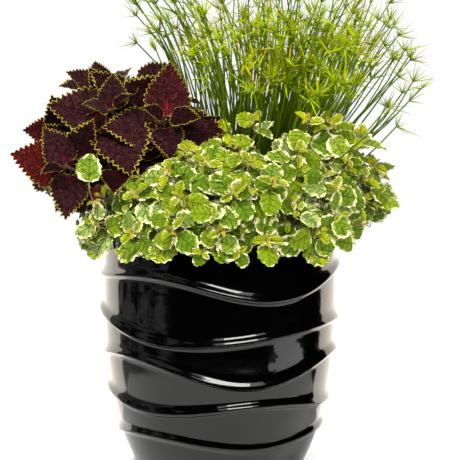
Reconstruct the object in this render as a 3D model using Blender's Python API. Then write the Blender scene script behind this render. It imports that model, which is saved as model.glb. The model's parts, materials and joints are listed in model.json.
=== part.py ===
"""A glazed planter of white-edged Swedish ivy, with a dark coleus and a dwarf papyrus behind it.

Metres, +Z up. The origin is the middle of the planter's foot, and the planting's front faces -Y.
Every plant is grown from its stem: a square bar that is extruded along a curve, whose side faces are
extruded again into leaf stalks and blades, so that each shoot is one closed solid.
"""

import math
import random

import bmesh
import bpy
from mathutils import Matrix, Vector
from mathutils.bvhtree import BVHTree
from mathutils.geometry import interpolate_bezier

GAP = 0.0003  # between pieces that touch
BARE_FOOT = 0.020  # length of stem above the mix that carries no leaf

# Planter
POT_HEIGHT = 0.380
POT_WALL = 0.012
POT_FLOOR = 0.016
FOOT_RADIUS = 0.124
FLARE = 0.0575  # how much wider the top is than the foot
FLARE_POWER = 3.6  # how early the side becomes upright
POT_SIDES = 48
RIDGE_RISE = 0.0060  # how far a ridge stands proud of the side
RIDGE_ABOVE = 0.013  # reach of a ridge's slope above its crest
RIDGE_BELOW = 0.007  # reach of the steeper slope below it
# Each ridge's level, its swing up and down, its waves on the way round, how far to the left of the front
# its first wave lies in degrees, and how far it rides up at the left side
RIDGES = (
    (0.0715, 0.0080, 3, 38, 0.006),
    (0.1270, -0.0080, 3, 38, 0.004),
    (0.1830, 0.0170, 3, 44, 0.017),
    (0.2405, -0.0095, 2, 25, 0.018),
    (0.3150, 0.0165, 3, 32, 0.016),
)

# Potting mix
SOIL_TOP = 0.345

# Swedish ivy
IVY_SEED = 908
IVY_STEM = 0.0028
IVY_BLADE = Vector((0.033, 0.036))  # width and length of a grown leaf
IVY_STALK = 0.008
# Each pair of leaves: distance below the tip, size, and lift above square to the stem
IVY_PAIRS = ((0.010, 0.52, 40), (0.028, 0.86, 24), (0.052, 1.02, 12), (0.082, 1.02, 4))
MOUND_BASE = 0.412
MOUND_REACH = 0.206  # how far the front stands out
MOUND_LEAN = 0.028  # how much farther the right side stands out than the left
MOUND_WIDTH = 0.026  # how much farther both sides stand out than the front
MOUND_RISE = 0.150
MOUND_TILT = 0.032  # how much higher the right side rises than the left
# Tiers of runners up the mound: climb angle, first and last bearing from the front, count, root radius
IVY_TIERS = (
    (-3, -92, 94, 9, 0.124),
    (17, -98, 104, 9, 0.108),
    (38, -62, 96, 7, 0.086),
    (64, -36, 92, 4, 0.052),
    (8, 112, 250, 6, 0.128),
)

# Coleus
COLEUS_STEM = 0.0065
COLEUS_BLADE = Vector((0.064, 0.080))
COLEUS_STALK = 0.012
COLEUS_PAIRS = ((0.006, 0.30, 45), (0.020, 0.84, 26), (0.046, 1.0, 10), (0.084, 1.04, -2))
COLEUS_ROOT = Vector((-0.092, 0.014, SOIL_TOP))
COLEUS_FAN = 0.24  # spread of the stems at the mix, as a share of the spread of their tips
# Each shoot's tip, the way it faces, and how far its first pair of leaves is turned
COLEUS_SHOOTS = (
    ((-0.084, -0.078, 0.566), (0.10, -0.92, 0.38), 0),
    ((-0.172, -0.052, 0.580), (-0.12, -0.88, 0.46), 12),
    ((-0.246, -0.066, 0.490), (-0.40, -0.88, 0.22), 38),
    ((-0.200, 0.040, 0.602), (-0.22, -0.50, 0.84), 40),
    ((-0.132, 0.042, 0.608), (0.10, -0.50, 0.86), 5),
    ((-0.280, 0.000, 0.545), (-0.62, -0.62, 0.48), 75),
    ((-0.158, -0.118, 0.484), (0.00, -0.97, 0.22), 45),
    ((-0.204, -0.088, 0.438), (-0.60, -0.78, 0.20), 20),
    ((-0.196, 0.125, 0.556), (-0.40, 0.60, 0.70), 30),
    ((-0.052, 0.006, 0.596), (0.30, -0.55, 0.78), 60),
    ((-0.118, -0.062, 0.512), (-0.20, -0.95, 0.25), 80),
)

# Dwarf papyrus
PAPYRUS_SEED = 154
RHIZOMES = 12
RHIZOME_TURNS = (0.4, 2.1, 0.9, 2.6, 1.2, 0.2, 1.9, 2.8, 1.1, 0.3, 1.6, 2.3)  # which way each lies
CULMS_EACH = 5
CULM_WIDTH = 0.0032
RHIZOME_WIDTH = 0.008
RHIZOME_LENGTH = 0.034
PAPYRUS_ROOT = Vector((0.050, 0.072, SOIL_TOP))
PAPYRUS_CROWN = Vector((0.096, 0.092, 0.690))
CLUMP_RADIUS = 0.062
CROWN_SPREAD = 3.2  # how much wider the heads stand than the clump they grow from
CROWN_DROP = 2.6  # how fast the heads sink towards the clump's edge
RAY_LENGTH = 0.062
RAY_SIDES = ((1, 0), (-1, 0), (0, 1), (0, -1), (0, 0))  # the four sides of a head, then its top


def clear_scene():
    for obj in list(bpy.data.objects):
        bpy.data.objects.remove(obj)


def add_object(name, bm, material):
    mesh = bpy.data.meshes.new(name)
    bm.to_mesh(mesh)
    bm.free()
    mesh.materials.append(material)
    obj = bpy.data.objects.new(name, mesh)
    bpy.context.scene.collection.objects.link(obj)
    return obj


def make_material(name, colour, roughness):
    material = bpy.data.materials.new(name)
    material.use_nodes = True
    shader = material.node_tree.nodes["Principled BSDF"]
    shader.inputs["Base Color"].default_value = (*colour, 1)
    shader.inputs["Roughness"].default_value = roughness
    shader.inputs["Metallic"].default_value = 0
    return material


# ---- Planter and potting mix: turned profiles ----


def side_radius(level):
    """Outer radius of the planter's side, without its ridges."""
    return FOOT_RADIUS + FLARE * (1 - (1 - level / POT_HEIGHT) ** FLARE_POWER)


def ridge_rise(level):
    """How far the ridges stand proud at this level: a long slope above each crest, a steep one below."""
    rise = 0
    for crest, *_ in RIDGES:
        reach = RIDGE_ABOVE if level > crest else RIDGE_BELOW
        rise += RIDGE_RISE * math.exp(-(((level - crest) / reach) ** 2) * 2)
    return rise


def ridge_lift(swing, waves, turn, ride_up, bearing):
    """How far a ridge lies above its own level at this bearing."""
    return swing * math.cos(waves * (bearing + math.radians(turn))) + ride_up * max(-math.sin(bearing), 0) ** 4


def side_lift(level, bearing):
    """How far the side's pattern is lifted here, blended between the ridges above and below."""
    lifts = [(crest, ridge_lift(*ridge, bearing)) for crest, *ridge in RIDGES]
    stops = [(0, 0), *lifts, (POT_HEIGHT - 0.012, 0), (POT_HEIGHT, 0)]
    for (low, lift_low), (high, lift_high) in zip(stops, stops[1:]):
        if low <= level <= high:
            share = (level - low) / (high - low)
            return lift_low + (lift_high - lift_low) * share * share * (3 - 2 * share)
    return 0


def side_levels():
    """Levels of the rows of the planter's outer side, close together at each ridge."""
    levels = [0.004, 0.018, 0.040]
    for crest, *_ in RIDGES:
        levels += [crest - 0.009, crest - 0.004, crest, crest + 0.007, crest + 0.017, crest + 0.036]
    return levels[:-1] + [0.354]


def spin_profile(profile):
    """A solid of revolution from a profile that starts and ends on the axis."""
    bm = bmesh.new()
    ring = [bm.verts.new((radius, 0, level)) for radius, level in profile]
    edges = [bm.edges.new(pair) for pair in zip(ring, ring[1:])]
    bmesh.ops.spin(
        bm, geom=ring + edges, cent=(0, 0, 0), axis=(0, 0, 1), angle=math.tau,
        steps=POT_SIDES, use_merge=True,
    )
    bmesh.ops.remove_doubles(bm, verts=bm.verts, dist=1e-6)
    bmesh.ops.recalc_face_normals(bm, faces=bm.faces)
    return bm


def inner_profile():
    """The planter's hollow from the rim down to the drain."""
    levels = (POT_HEIGHT - 0.004, 0.300, 0.220, 0.150, 0.090, 0.045)
    profile = [(side_radius(level) - POT_WALL, level) for level in levels]
    return profile + [(FOOT_RADIUS - 0.002, POT_FLOOR)]


def make_planter(material):
    outer = [(side_radius(level), level) for level in side_levels()]
    rim = side_radius(POT_HEIGHT)
    lip = [(rim, POT_HEIGHT - 0.005), (rim - 0.003, POT_HEIGHT), (rim - POT_WALL + 0.003, POT_HEIGHT)]
    foot = [(0, 0), (FOOT_RADIUS - 0.004, 0)]
    bm = spin_profile(foot + outer + lip + inner_profile() + [(0, POT_FLOOR)])
    for vert in bm.verts:
        level, radius = vert.co.z, vert.co.xy.length
        if 0.001 < level < POT_HEIGHT - 0.001 and radius > side_radius(level) - POT_WALL / 2:
            bearing = math.atan2(vert.co.x, -vert.co.y)
            vert.co.z += side_lift(level, bearing)
            vert.co.xy *= (side_radius(vert.co.z) + ridge_rise(level)) / radius
    obj = add_object("planter", bm, material)
    obj.data.shade_smooth()
    obj.data.set_sharp_from_angle(angle=math.radians(50))


def make_potting_mix(material):
    wall = [(radius - GAP * 1.5, level) for radius, level in inner_profile() if level < SOIL_TOP]
    top_radius = side_radius(SOIL_TOP) - POT_WALL - 0.001
    wall[-1] = (wall[-1][0], POT_FLOOR + GAP)
    bm = spin_profile([(0, SOIL_TOP), (top_radius, SOIL_TOP), *wall, (0, POT_FLOOR + GAP)])
    add_object("potting_mix", bm, material)


# ---- Room: what already stands in the pot, so that no two pieces grow through each other ----


class Room:
    def __init__(self):
        self.taken = []

    def is_clear(self, solid, besides=None):
        centre, reach, tree = solid
        return not any(
            (centre - other[0]).length < reach + other[1] and tree.overlap(other[2])
            for other in self.taken
            if other is not besides
        )

    def take(self, solid):
        self.taken.append(solid)


def as_solid(points, faces):
    """Centre, reach and search tree of a closed shape."""
    centre = sum(points, Vector()) / len(points)
    reach = max((point - centre).length for point in points)
    return centre, reach, BVHTree.FromPolygons(points, faces)


OUTLINE = ((-0.08, 0.02), (-0.5, 0.34), (-0.36, 0.68), (0, 1.02), (0.36, 0.68), (0.5, 0.34), (0.08, 0.02))
PLATE_DEPTH = 0.0030
SQUARE = (Vector((-1, 0, -1)), Vector((1, 0, -1)), Vector((1, 0, 1)), Vector((-1, 0, 1)))


def plate(frame, stalk, width, length):
    """The room that a leaf blade takes: a thin seven-sided plate."""
    points = [
        frame @ Vector((width * x, stalk + length * y, side * PLATE_DEPTH / 2))
        for side in (-1, 1)
        for x, y in OUTLINE
    ]
    faces = [tuple(range(7)), tuple(range(13, 6, -1))]
    faces += [(i, (i + 1) % 7, (i + 1) % 7 + 7, i + 7) for i in range(7)]
    return as_solid(points, faces)


def tube_faces(rings):
    """Faces round a four-sided tube, and its two ends."""
    faces = [(0, 1, 2, 3), tuple(range(rings * 4 - 1, rings * 4 - 5, -1))]
    for ring in range(rings - 1):
        for corner in range(4):
            a, b = ring * 4 + corner, ring * 4 + (corner + 1) % 4
            faces.append((a, b, b + 4, a + 4))
    return faces


def rod(stem, thickness):
    """The room that a stem takes."""
    points = [frame @ (corner * thickness * 0.52) for frame in stem.frames for corner in SQUARE]
    return as_solid(points, tube_faces(len(stem.frames)))


def spike(start, end, thickness):
    """The room that a stalk or a ray takes."""
    frame = frame_of(start, end - start, Vector((0.3, 0.2, 1)))
    reach = Vector((0, (end - start).length, 0))
    points = [frame @ (corner * thickness * 0.52) for corner in SQUARE]
    points += [frame @ (corner * thickness * 0.3 + reach) for corner in SQUARE]
    return as_solid(points, tube_faces(2))


# ---- Stems and leaves ----


def frame_of(origin, along, up):
    """Y along, Z as near to up as it can be, X to the side."""
    y = along.normalized()
    x = y.cross(up).normalized()
    return Matrix.Translation(origin) @ Matrix((x, y, x.cross(y))).transposed().to_4x4()


class Stem:
    """A smooth stem from base to tip. Its frames have Y along it, carried along without a twist."""

    def __init__(self, base, tip, start, end, turn=0.0, steps=14):
        base, tip = Vector(base), Vector(tip)
        pull = (tip - base).length * 0.42
        start, end = Vector(start).normalized(), Vector(end).normalized()
        points = interpolate_bezier(base, base + start * pull, tip - end * pull, tip, steps + 1)
        tangents = [(b - a).normalized() for a, b in zip(points, points[1:])]
        tangents = [start, *[(a + b).normalized() for a, b in zip(tangents, tangents[1:])], end]
        side = Vector((1, 0, 0)) if abs(end.x) < 0.9 else Vector((0, 1, 0))
        side = Matrix.Rotation(turn, 3, end) @ (side - end * side.dot(end)).normalized()
        self.frames, self.lengths = [], [0.0]
        for point, tangent in zip(reversed(points), reversed(tangents)):
            side = (side - tangent * side.dot(tangent)).normalized()
            matrix = Matrix((side, tangent, side.cross(tangent))).transposed().to_4x4()
            self.frames.insert(0, Matrix.Translation(point) @ matrix)
        for a, b in zip(points, points[1:]):
            self.lengths.append(self.lengths[-1] + (b - a).length)

    @property
    def length(self):
        return self.lengths[-1]

    def at(self, distance):
        """The frame at this distance from the base."""
        distance = min(max(distance, 0), self.length)
        for i, (low, high) in enumerate(zip(self.lengths, self.lengths[1:])):
            if distance <= high:
                return self.frames[i].lerp(self.frames[i + 1], (distance - low) / (high - low))
        return self.frames[-1]


class Leaf:
    """A blade on a stalk: where on the stem it grows, its own frame, and its size."""

    def __init__(self, stem, distance, facing, stalk, width, length, lift, light, pull):
        node = stem.at(distance)
        tangent = node.col[1].xyz
        outward = node.col[0].xyz * facing[0] + node.col[2].xyz * facing[1]
        along = outward * math.cos(lift) + tangent * math.sin(lift)
        normal = (tangent * math.cos(lift) - outward * math.sin(lift) + light * pull).normalized()
        self.distance, self.facing = distance, facing
        self.stalk, self.width, self.length = stalk, width, length
        self.frame = frame_of(node.translation, along - normal * along.dot(normal), normal)

    def solids(self, thickness):
        """The room that the blade takes, and then the stalk."""
        along = self.frame.col[1].xyz
        start = self.frame.translation + along * thickness * 0.7
        end = self.frame.translation + along * (self.stalk + self.length * 0.1)
        return plate(self.frame, self.stalk, self.width, self.length), spike(start, end, thickness)


def seat_leaf(room, own, thickness, *args, scale, lift):
    """The first size and tilt at which a leaf touches nothing but its own stem, or None."""
    stem, distance, facing, stalk, blade, light, pull = args
    for shrink in (1, 0.85, 0.7):
        for tilt in (0, 10, -10, 20, -20):
            size = scale * shrink
            leaf = Leaf(
                stem, distance, facing, stalk * size + thickness * 0.6, blade.x * size, blade.y * size,
                math.radians(lift + tilt), light, pull,
            )
            blade_solid, stalk_solid = leaf.solids(thickness)
            if room.is_clear(blade_solid) and room.is_clear(stalk_solid, own):
                room.take(blade_solid)
                room.take(stalk_solid)
                return leaf
    return None


def leaf_pairs(room, own, stem, thickness, pairs, stalk, blade, light, pull):
    """Leaves in opposite pairs, each pair a quarter turn from the last."""
    leaves = []
    for number, (below_tip, scale, lift) in enumerate(pairs):
        distance = stem.length - below_tip
        if distance < BARE_FOOT:
            break
        for sign in (1, -1):
            facing = (sign, 0) if number % 2 else (0, sign)
            leaf = seat_leaf(
                room, own, thickness, stem, distance, facing, stalk, blade, light, pull,
                scale=scale, lift=lift,
            )
            if leaf:
                leaves.append(leaf)
    return leaves


# ---- Where each shoot grows ----


def bearing_vector(bearing):
    """Level direction at this bearing from the front, positive to the right."""
    return Vector((math.sin(bearing), -math.cos(bearing), 0))


def coleus_stems():
    stems = []
    for tip, facing, turn in COLEUS_SHOOTS:
        base = COLEUS_ROOT.lerp(Vector(tip), COLEUS_FAN)
        base.z = SOIL_TOP + GAP
        stems.append(Stem(base, tip, (0, 0, 1), facing, math.radians(turn)))
    return stems


def ivy_stems():
    """Runners in tiers on a mound that leans over the planter's rim, as (stem, light) pairs."""
    stems = []
    for climb, first, last, count, root in IVY_TIERS:
        for number in range(count):
            dice = random.Random(IVY_SEED + len(stems))
            share = (number + 0.5) / count
            bearing = math.radians(first + (last - first) * share + dice.uniform(-3, 3))
            rise = math.radians(climb + dice.uniform(-4, 4))
            outward = bearing_vector(bearing)
            side = math.sin(bearing)
            reach = MOUND_REACH + MOUND_LEAN * side + MOUND_WIDTH * side * side + dice.uniform(-0.006, 0.006)
            tip = outward * reach * math.cos(rise)
            tip.z = MOUND_BASE + (MOUND_RISE + MOUND_TILT * side) * math.sin(rise)
            base = outward * root + Vector((0, 0, SOIL_TOP + GAP))
            end = outward * math.cos(rise) + Vector((0, 0, 0.30 + math.sin(rise)))
            light = (outward * 0.8 + Vector((0, 0, 0.5))).normalized()
            stem = Stem(base, tip, (0, 0, 1), end, dice.uniform(0, math.tau))
            stems.append((stem, light))
    return stems


def sunflower(number, count, radius):
    """Point number of count spread evenly over a disc."""
    turn = number * math.radians(137.5)
    return Vector((math.cos(turn), math.sin(turn), 0)) * radius * math.sqrt((number + 0.5) / count)


def clear_rays(room, culm):
    """Tips of the rays that find room at a culm's head, by the side of the head they leave."""
    hub = culm.frames[-1] @ Matrix.Translation((0, 0.004, 0))
    tips, solids = {}, []
    for facing in RAY_SIDES:
        ray = Vector((facing[0] * 0.8, 0.6 if any(facing) else 1, facing[1] * 0.8)).normalized()
        for length in (RAY_LENGTH, RAY_LENGTH * 0.7, RAY_LENGTH * 0.45):
            tip = hub @ (ray * length)
            solid = spike(hub @ (ray * 0.002), tip, CULM_WIDTH * 1.6)
            if room.is_clear(solid):
                tips[facing] = tip
                solids.append(solid)
                break
    return tips, solids


def papyrus_rhizome(number):
    """A short stem lying on the mix, its place in the clump spread as a sunflower's seeds are."""
    dice = random.Random(PAPYRUS_SEED + number)
    centre = PAPYRUS_ROOT + sunflower(number, RHIZOMES, CLUMP_RADIUS)
    centre.z += RHIZOME_WIDTH / 2 + GAP
    turn = RHIZOME_TURNS[number] + dice.uniform(-0.1, 0.1)
    across = Vector((math.cos(turn), math.sin(turn), 0))
    half = across * RHIZOME_LENGTH / 2
    return Stem(centre - half, centre + half, across, across)


def papyrus_culm(number, slot, rhizome):
    """Distance along the rhizome and stem of one culm. Culms fan out from the clump, so few cross."""
    dice = random.Random(PAPYRUS_SEED * 1000 + number * 40 + slot)
    distance = rhizome.length * (slot + 0.5) / CULMS_EACH
    base = rhizome.at(distance).translation + Vector((0, 0, RHIZOME_WIDTH * 0.5 + 0.001))
    away = base - PAPYRUS_ROOT
    away.z = 0
    edge = away.length / CLUMP_RADIUS
    head = PAPYRUS_CROWN + away * CROWN_SPREAD * dice.uniform(0.8, 1.2)
    head.x += dice.uniform(-0.02, 0.02)
    head.y += dice.uniform(-0.02, 0.02)
    head.z -= CROWN_DROP * away.length * edge * 0.5 - dice.uniform(0, 0.10)
    lean = away / CLUMP_RADIUS * 0.9 + Vector((0, 0, 1))
    return distance, Stem(base, head, away / CLUMP_RADIUS * 0.35 + Vector((0, 0, 1)), lean, edge, 7)


def papyrus_tuft(number, rhizome, room):
    """The culms of one rhizome that find room, as (distance, stem, ray tips)."""
    culms = []
    for slot in range(CULMS_EACH):
        distance, culm = papyrus_culm(number, slot, rhizome)
        solid = rod(culm, CULM_WIDTH)
        tips, solids = clear_rays(room, culm)
        if room.is_clear(solid) and len(tips) > 1:
            culms.append((distance, culm, tips))
            for taken in [solid, *solids]:
                room.take(taken)
    return culms


# ---- Solids, grown by extrusion ----


CORNERS = ((-1, 1), (1, 1), (1, -1), (-1, -1))


def square_ring(bm, face, frame, width, depth):
    """Extrudes a four-sided face to a frame, squared up to width and depth and turned the least."""
    face = bmesh.ops.extrude_discrete_faces(bm, faces=[face])["faces"][0]
    verts = list(face.verts)
    start = sum((vert.co for vert in verts), Vector()) / 4
    spokes = [frame.to_3x3() @ Vector((x * width / 2, 0, z * depth / 2)) for x, z in CORNERS]
    turns = [spokes[turn:] + spokes[:turn] for turn in range(4)]
    best = max(turns, key=lambda turn: sum((v.co - start).dot(spoke) for v, spoke in zip(verts, turn)))
    for vert, spoke in zip(verts, best):
        vert.co = frame.translation + spoke
    return face


def taper_to(bm, face, point):
    """Extrudes a face and draws it to a point."""
    face = bmesh.ops.extrude_discrete_faces(bm, faces=[face])["faces"][0]
    bmesh.ops.pointmerge(bm, verts=face.verts, merge_co=point)


def facing_side(face, ring_centre, direction):
    """Of the four sides just extruded behind this end face, the one that looks along direction."""
    sides = [f for edge in face.edges for f in edge.link_faces if f != face]
    return max(sides, key=lambda f: (f.calc_center_median() - ring_centre).dot(direction))


def grow_bar(bm, stem, width, nodes, node_length):
    """A square bar along a stem. Returns the short side faces at each (distance, facing) node."""
    half = node_length / 2
    cuts = sorted({round(stem.length * i / 4, 5) for i in range(1, 4)})
    cuts = [c for c in cuts if all(abs(c - n) > node_length * 1.5 for n, _ in nodes)]
    stops = {0.0: None, stem.length: None, **{c: None for c in cuts}}
    for distance in sorted({n for n, _ in nodes}):
        stops[distance - half] = None
        stops[distance + half] = distance
    frame = stem.at(0)
    bmesh.ops.create_cube(bm, size=width, matrix=frame)
    face = max(bm.faces, key=lambda f: f.calc_center_median().dot(frame.col[1].xyz))
    for vert in bm.verts:
        local = frame.inverted() @ vert.co
        vert.co = frame @ Vector((local.x, max(local.y, 0) * 0.02, local.z))
    found = {}
    for stop in sorted(stops)[1:]:
        new = stem.at(stop)
        face = square_ring(bm, face, new, width, width)
        if stops[stop] is not None:
            middle = stem.at(stops[stop])
            for distance, facing in nodes:
                if distance == stops[stop]:
                    direction = middle.col[0].xyz * facing[0] + middle.col[2].xyz * facing[1]
                    found[distance, facing] = facing_side(face, middle.translation, direction)
        frame = new
    return face, found


def grow_leaf(bm, face, leaf, shape, depth):
    """Stalk and blade: shape lists each ring of the blade as shares of its length and of its width."""
    for share, wide in shape:
        ring = leaf.frame @ Matrix.Translation((0, leaf.stalk + leaf.length * share, 0))
        face = square_ring(bm, face, ring, leaf.width * wide, depth)
    taper_to(bm, face, leaf.frame @ Vector((0, leaf.stalk + leaf.length, 0)))


def make_shoot(name, stem, leaves, width, shape, depth, material):
    bm = bmesh.new()
    nodes = [(leaf.distance, leaf.facing) for leaf in leaves]
    _, sides = grow_bar(bm, stem, width, nodes, width * 0.9)
    for leaf in leaves:
        grow_leaf(bm, sides[leaf.distance, leaf.facing], leaf, shape, depth)
    bmesh.ops.recalc_face_normals(bm, faces=bm.faces)
    add_object(name, bm, material)


def make_tuft(name, rhizome, culms, material):
    """A creeping rhizome with its culms, each topped by a spray of rays."""
    bm = bmesh.new()
    up = (0, 1 if rhizome.frames[0].col[2].z > 0 else -1)
    nodes = [(distance, up) for distance, _, _ in culms]
    _, sides = grow_bar(bm, rhizome, RHIZOME_WIDTH, nodes, CULM_WIDTH)
    for distance, culm, tips in culms:
        face = sides[distance, up]
        for share in (0, 0.25, 0.50, 0.75, 1.0):
            face = square_ring(bm, face, culm.at(culm.length * share), CULM_WIDTH, CULM_WIDTH)
        hub = culm.frames[-1] @ Matrix.Translation((0, 0.004, 0))
        face = square_ring(bm, face, hub, CULM_WIDTH * 1.6, CULM_WIDTH * 1.6)
        sides_of_hub = {
            side: facing_side(face, hub.translation, hub.to_3x3() @ Vector((side[0], 0, side[1])))
            for side in tips
            if any(side)
        }
        for side, tip in tips.items():
            taper_to(bm, sides_of_hub.get(side, face), tip)
    bmesh.ops.recalc_face_normals(bm, faces=bm.faces)
    add_object(name, bm, material)


def main():
    clear_scene()
    glaze = make_material("black_glaze", (0.010, 0.010, 0.011), 0.08)
    mix = make_material("potting_mix", (0.040, 0.026, 0.016), 0.95)
    coleus = make_material("coleus_leaf", (0.060, 0.010, 0.014), 0.50)
    papyrus = make_material("papyrus_green", (0.150, 0.280, 0.020), 0.50)
    ivy = make_material("ivy_leaf", (0.200, 0.360, 0.060), 0.50)
    make_planter(glaze)
    make_potting_mix(mix)

    room = Room()
    for name in ("planter", "potting_mix"):
        mesh = bpy.data.objects[name].data
        room.take(as_solid([v.co.copy() for v in mesh.vertices], [tuple(p.vertices) for p in mesh.polygons]))

    shoots = [(stem, rod(stem, COLEUS_STEM)) for stem in coleus_stems()]
    runners = [(stem, light, rod(stem, IVY_STEM)) for stem, light in ivy_stems()]
    rhizomes = [papyrus_rhizome(number) for number in range(RHIZOMES)]
    bars = [rod(rhizome, RHIZOME_WIDTH * 0.85) for rhizome in rhizomes]
    for solid in [shoot[-1] for shoot in shoots + runners] + bars:
        if not room.is_clear(solid):
            print("a stem touches another near", solid[0])
        room.take(solid)
    for number, rhizome in enumerate(rhizomes):
        culms = papyrus_tuft(number, rhizome, room)
        print("papyrus", number + 1, len(culms))
        make_tuft(f"papyrus_tuft_{number + 1:02d}", rhizome, culms, papyrus)

    shape = ((0.04, 0.08), (0.34, 0.94), (0.66, 0.66))
    for number, (stem, solid) in enumerate(shoots, 1):
        light = stem.frames[-1].col[1].xyz
        leaves = leaf_pairs(
            room, solid, stem, COLEUS_STEM, COLEUS_PAIRS, COLEUS_STALK, COLEUS_BLADE, light, 0.3
        )
        print("coleus", number, len(leaves))
        make_shoot(f"coleus_shoot_{number}", stem, leaves, COLEUS_STEM, shape, 0.0012, coleus)

    shape = ((0.04, 0.10), (0.42, 0.94))
    for number, (stem, light, solid) in enumerate(runners, 1):
        leaves = leaf_pairs(room, solid, stem, IVY_STEM, IVY_PAIRS, IVY_STALK, IVY_BLADE, light, 0.8)
        print("ivy", number, len(leaves))
        make_shoot(f"ivy_runner_{number:02d}", stem, leaves, IVY_STEM, shape, 0.0010, ivy)


main()
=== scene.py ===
import json
import math
import random

import bmesh
import bpy
from mathutils import Matrix, Vector, noise
from mathutils.bvhtree import BVHTree
from mathutils.geometry import interpolate_bezier

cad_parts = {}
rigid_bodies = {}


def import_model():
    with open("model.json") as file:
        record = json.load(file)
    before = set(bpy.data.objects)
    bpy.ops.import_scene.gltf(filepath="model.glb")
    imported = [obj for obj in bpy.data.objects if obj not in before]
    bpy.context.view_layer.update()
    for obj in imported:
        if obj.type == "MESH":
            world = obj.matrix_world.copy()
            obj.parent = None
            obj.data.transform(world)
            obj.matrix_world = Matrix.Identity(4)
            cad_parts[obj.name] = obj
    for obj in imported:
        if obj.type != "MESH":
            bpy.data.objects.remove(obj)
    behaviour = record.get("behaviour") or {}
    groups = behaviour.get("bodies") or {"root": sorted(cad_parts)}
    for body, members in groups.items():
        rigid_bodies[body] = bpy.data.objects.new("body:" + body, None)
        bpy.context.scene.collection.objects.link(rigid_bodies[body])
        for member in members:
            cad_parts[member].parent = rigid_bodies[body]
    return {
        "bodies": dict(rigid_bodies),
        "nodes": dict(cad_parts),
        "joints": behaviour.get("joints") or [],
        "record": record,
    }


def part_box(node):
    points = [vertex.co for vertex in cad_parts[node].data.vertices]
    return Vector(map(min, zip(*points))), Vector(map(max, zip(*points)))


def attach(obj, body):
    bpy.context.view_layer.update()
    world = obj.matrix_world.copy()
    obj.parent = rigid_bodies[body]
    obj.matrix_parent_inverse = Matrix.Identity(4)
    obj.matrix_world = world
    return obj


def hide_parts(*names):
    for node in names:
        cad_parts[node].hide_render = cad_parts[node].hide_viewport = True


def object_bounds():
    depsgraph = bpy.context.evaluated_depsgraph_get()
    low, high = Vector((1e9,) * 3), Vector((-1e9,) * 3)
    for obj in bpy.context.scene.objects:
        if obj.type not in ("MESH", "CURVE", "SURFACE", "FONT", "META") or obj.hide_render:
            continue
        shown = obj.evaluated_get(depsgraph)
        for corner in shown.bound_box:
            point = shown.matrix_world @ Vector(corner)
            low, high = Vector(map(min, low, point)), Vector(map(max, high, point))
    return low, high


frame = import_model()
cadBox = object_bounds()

scene = bpy.context.scene
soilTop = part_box("potting_mix")[1][2]
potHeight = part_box("planter")[1][2]


def eitherWay(dice, most):
    return dice.uniform(-most, most)


# small helpers for shader nodes

def isSocket(value):
    return isinstance(value, bpy.types.NodeSocket)


def treeOf(*values):
    return next(value.id_data for value in values if isSocket(value))


def join(output, node, place):
    output.id_data.links.new(output, node.inputs[place])


def newMaterial(name, **constants):
    # constants go by their names on the shader, with _ for a space
    material = bpy.data.materials.new(name)
    material.use_nodes = True
    shader = material.node_tree.nodes["Principled BSDF"]
    for key, value in constants.items():
        shader.inputs[key.replace("_", " ")].default_value = value
    return material, material.node_tree, shader


def addNode(tree, kind, settings=None, **inputs):
    # inputs go by their names in the editor, with _ for a space, or by n and their number
    node = tree.nodes.new("ShaderNode" + kind)
    for key, value in (settings or {}).items():
        setattr(node, key, value)
    for key, value in inputs.items():
        place = int(key[1:]) if key[0] == "n" and key[1:].isdigit() else key.replace("_", " ")
        if isSocket(value):
            join(value, node, place)
        else:
            node.inputs[place].default_value = value
    return node


def maths(operation, *values, kind="Math", result=0):
    inputs = {f"n{number}": value for number, value in enumerate(values)}
    return addNode(treeOf(*values), kind, {"operation": operation}, **inputs).outputs[result]


def times(first, second):
    return maths("MULTIPLY", first, second)


def plus(first, second):
    return maths("ADD", first, second)


def minus(first, second):
    return maths("SUBTRACT", first, second)


def timesPlus(value, factor, offset):
    return maths("MULTIPLY_ADD", value, factor, offset)


def mixColour(share, first, second):
    inputs = {"n0": share, "n6": first, "n7": second}
    inputs = {key: (*value, 1) if isinstance(value, tuple) else value for key, value in inputs.items()}
    return addNode(treeOf(share, first, second), "Mix", {"data_type": "RGBA"}, **inputs).outputs[2]


def ramp(value, low, high, start=0.0, end=1.0, smooth=True):
    kind = {"interpolation_type": "SMOOTHSTEP" if smooth else "LINEAR"}
    ends = {"From_Min": low, "From_Max": high, "To_Min": start, "To_Max": end}
    return addNode(value.id_data, "MapRange", kind, Value=value, **ends).outputs[0]


def noiseOf(tree, scale, detail=3.0, roughness=0.5, where=None):
    where = where or addNode(tree, "TexCoord").outputs["Object"]
    settings = {"Vector": where, "Scale": scale, "Detail": detail, "Roughness": roughness}
    return addNode(tree, "TexNoise", None, **settings).outputs["Fac"]


def attributes(tree, *names):
    return [addNode(tree, "Attribute", {"attribute_name": name}).outputs["Fac"] for name in names]


def addBump(shader, height, distance):
    bump = addNode(height.id_data, "Bump", None, Height=height, Distance=distance)
    join(bump.outputs[0], shader, "Normal")


# making objects and pieces

def newObject(name, data):
    obj = bpy.data.objects.new(name, data)
    scene.collection.objects.link(obj)
    return obj


def placeFacing(obj, place, target):
    obj.location = place
    obj.rotation_euler = (target - obj.location).to_track_quat("-Z", "Y").to_euler()


def meshFrom(bm, name):
    mesh = bpy.data.meshes.new(name)
    bm.to_mesh(mesh)
    bm.free()
    return mesh


def addPiece(name, bm, materials, slot, *nodes, sharp=50):
    mesh = meshFrom(bm, name)
    for material in materials:
        mesh.materials.append(material)
    obj = newObject(name, mesh)
    mesh.shade_smooth()
    mesh.set_sharp_from_angle(angle=math.radians(sharp))
    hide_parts(*nodes)
    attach(obj, "root")


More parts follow.
